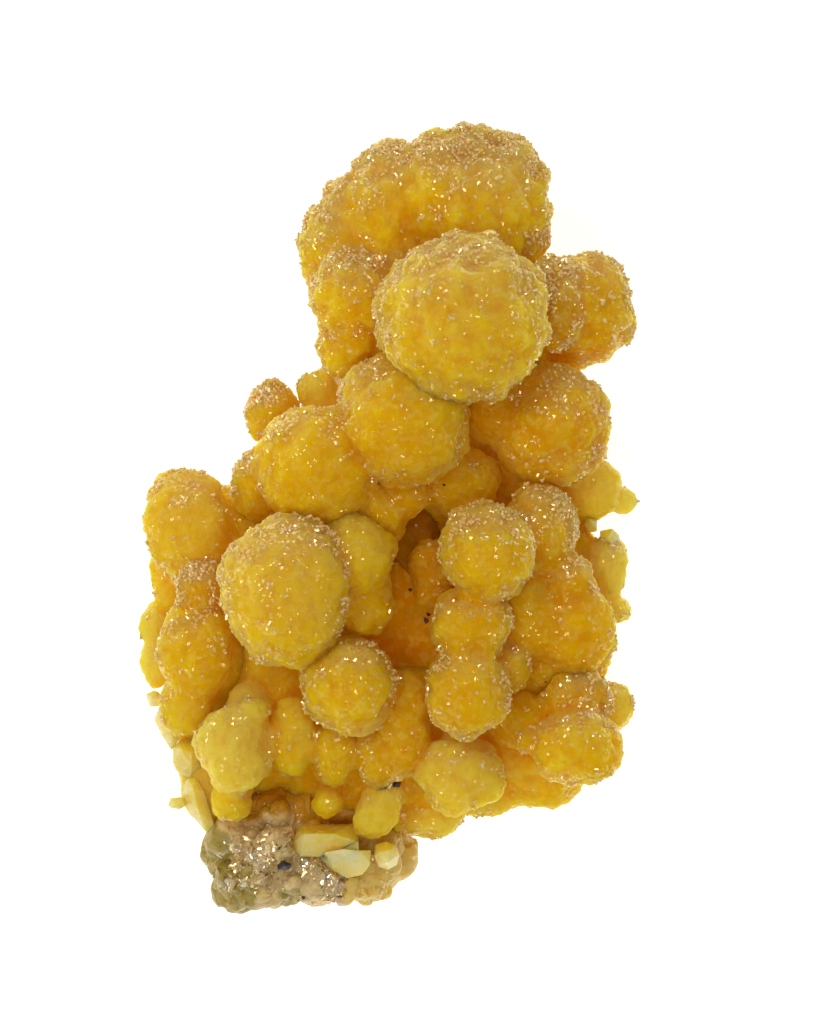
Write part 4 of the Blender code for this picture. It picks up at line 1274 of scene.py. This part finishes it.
class SPECIMEN_OT_crystals(bpy.types.Operator):
    """Make the flat-faced lemon crystals of the foot and both rims, and the dark grain."""

    bl_idname = "specimen.crystals"
    bl_label = "Flat-faced crystals"

    def execute(self, context):
        pale = crystal_material()
        foot = crystal_group("foot_crystal_blocks", FOOT_CRYSTALS.values())
        finish_piece(foot, pale, "foot_crystals", "foot_crystals")
        rim = crystal_group("left_rim_blades", LEFT_RIM_CRYSTALS.values())
        finish_piece(rim, pale, "left_rim_crystals", "left_rim_crystals")
        prisms = crystal_group("right_rim_prisms", RIGHT_RIM_PRISMS.values())
        finish_piece(prisms, pale, "mimetite")
        skins = [made for made in context.scene.objects if made.name.startswith(("mimetite_", "matrix_foot"))]
        specks = speck_corners(SPECKS, skins, np.random.default_rng(sizes().seed + SPECK_DRAWS))
        grain = crystal_group("dark_grain", [DARK_GRAIN, *specks])
        finish_piece(grain, grain_material(), "matrix")
        return {"FINISHED"}


def floor_material():
    """A plain pale floor."""
    even = {"Base Color": opaque(colours().floor), "Roughness": 0.9}
    return Finish("pale_floor", {**even, "Emission Color": WHITE, "Emission Strength": FLOOR_GLOW}).made


def area_light(name, place, width, power):
    """A square soft light at a place in metres, turned to the specimen."""
    lamp = bpy.data.lights.new(name, "AREA")
    lamp.size = width
    lamp.energy = power
    lamp.color = LIGHT_TINT
    made = linked(name, lamp)
    made.location = place
    made.rotation_euler = (Vector(LIGHT_TARGET) - Vector(place)).to_track_quat("-Z", "Y").to_euler()


class SPECIMEN_OT_stage(bpy.types.Operator):
    """Make the floor, the lights, the sky and the camera, which looks straight down."""

    bl_idname = "specimen.stage"
    bl_label = "Stage"

    def execute(self, context):
        half = FLOOR_WIDTH / 2.0
        corners = np.array(((-half, -half, 0.0), (half, -half, 0.0), (half, half, 0.0), (-half, half, 0.0)))
        floor = plain_object("floor", corners, np.array(((0, 1, 2, 3),)))
        floor.data.materials.append(floor_material())
        for name, light in LIGHTS.items():
            area_light(name, *light)
        scene = context.scene
        world = bpy.data.worlds.new("studio")
        world.use_nodes = True
        sky = world.node_tree.nodes["Background"].inputs
        sky["Color"].default_value = WHITE
        sky["Strength"].default_value = SKY_STRENGTH
        scene.world = world
        scene.view_settings.view_transform = "Standard"
        camera = bpy.data.cameras.new("camera")
        camera.lens = LENS
        camera.sensor_width = SENSOR
        made = linked("camera", camera)
        made.location = (*FRAME_MIDDLE, FOCUS_HEIGHT + FRAME_HEIGHT * LENS / SENSOR)
        scene.camera = made
        return {"FINISHED"}


class SPECIMEN_PT_panel(bpy.types.Panel):
    """Lists the specimen's pieces and its sizes and colours."""

    bl_idname = "SPECIMEN_PT_panel"
    bl_label = "Mimetite specimen"
    bl_space_type = "VIEW_3D"
    bl_region_type = "UI"
    bl_category = "Mimetite"

    def draw(self, context):
        for operator in OPERATORS:
            self.layout.operator(operator.bl_idname)
        for group in (context.scene.specimen_sizes, context.scene.specimen_colours):
            box = self.layout.box()
            for name in group.__annotations__:
                box.prop(group, name)


OPERATORS = (SPECIMEN_OT_balls, SPECIMEN_OT_rock, SPECIMEN_OT_crystals, SPECIMEN_OT_stage)
CLASSES = (SpecimenSizes, SpecimenColours, *OPERATORS, SPECIMEN_PT_panel)


def register():
    """Add the classes and the scene's settings."""
    for kind in CLASSES:
        bpy.utils.register_class(kind)
    bpy.types.Scene.specimen_sizes = PointerProperty(type=SpecimenSizes)
    bpy.types.Scene.specimen_colours = PointerProperty(type=SpecimenColours)


def unregister():
    """Take the classes and the scene's settings away."""
    del bpy.types.Scene.specimen_colours
    del bpy.types.Scene.specimen_sizes
    for kind in reversed(CLASSES):
        bpy.utils.unregister_class(kind)


def main():
    """Build every piece."""
    register()
    bpy.ops.specimen.balls()
    bpy.ops.specimen.rock()
    bpy.ops.specimen.crystals()
    bpy.ops.specimen.stage()


if __name__ == "__main__":
    main()
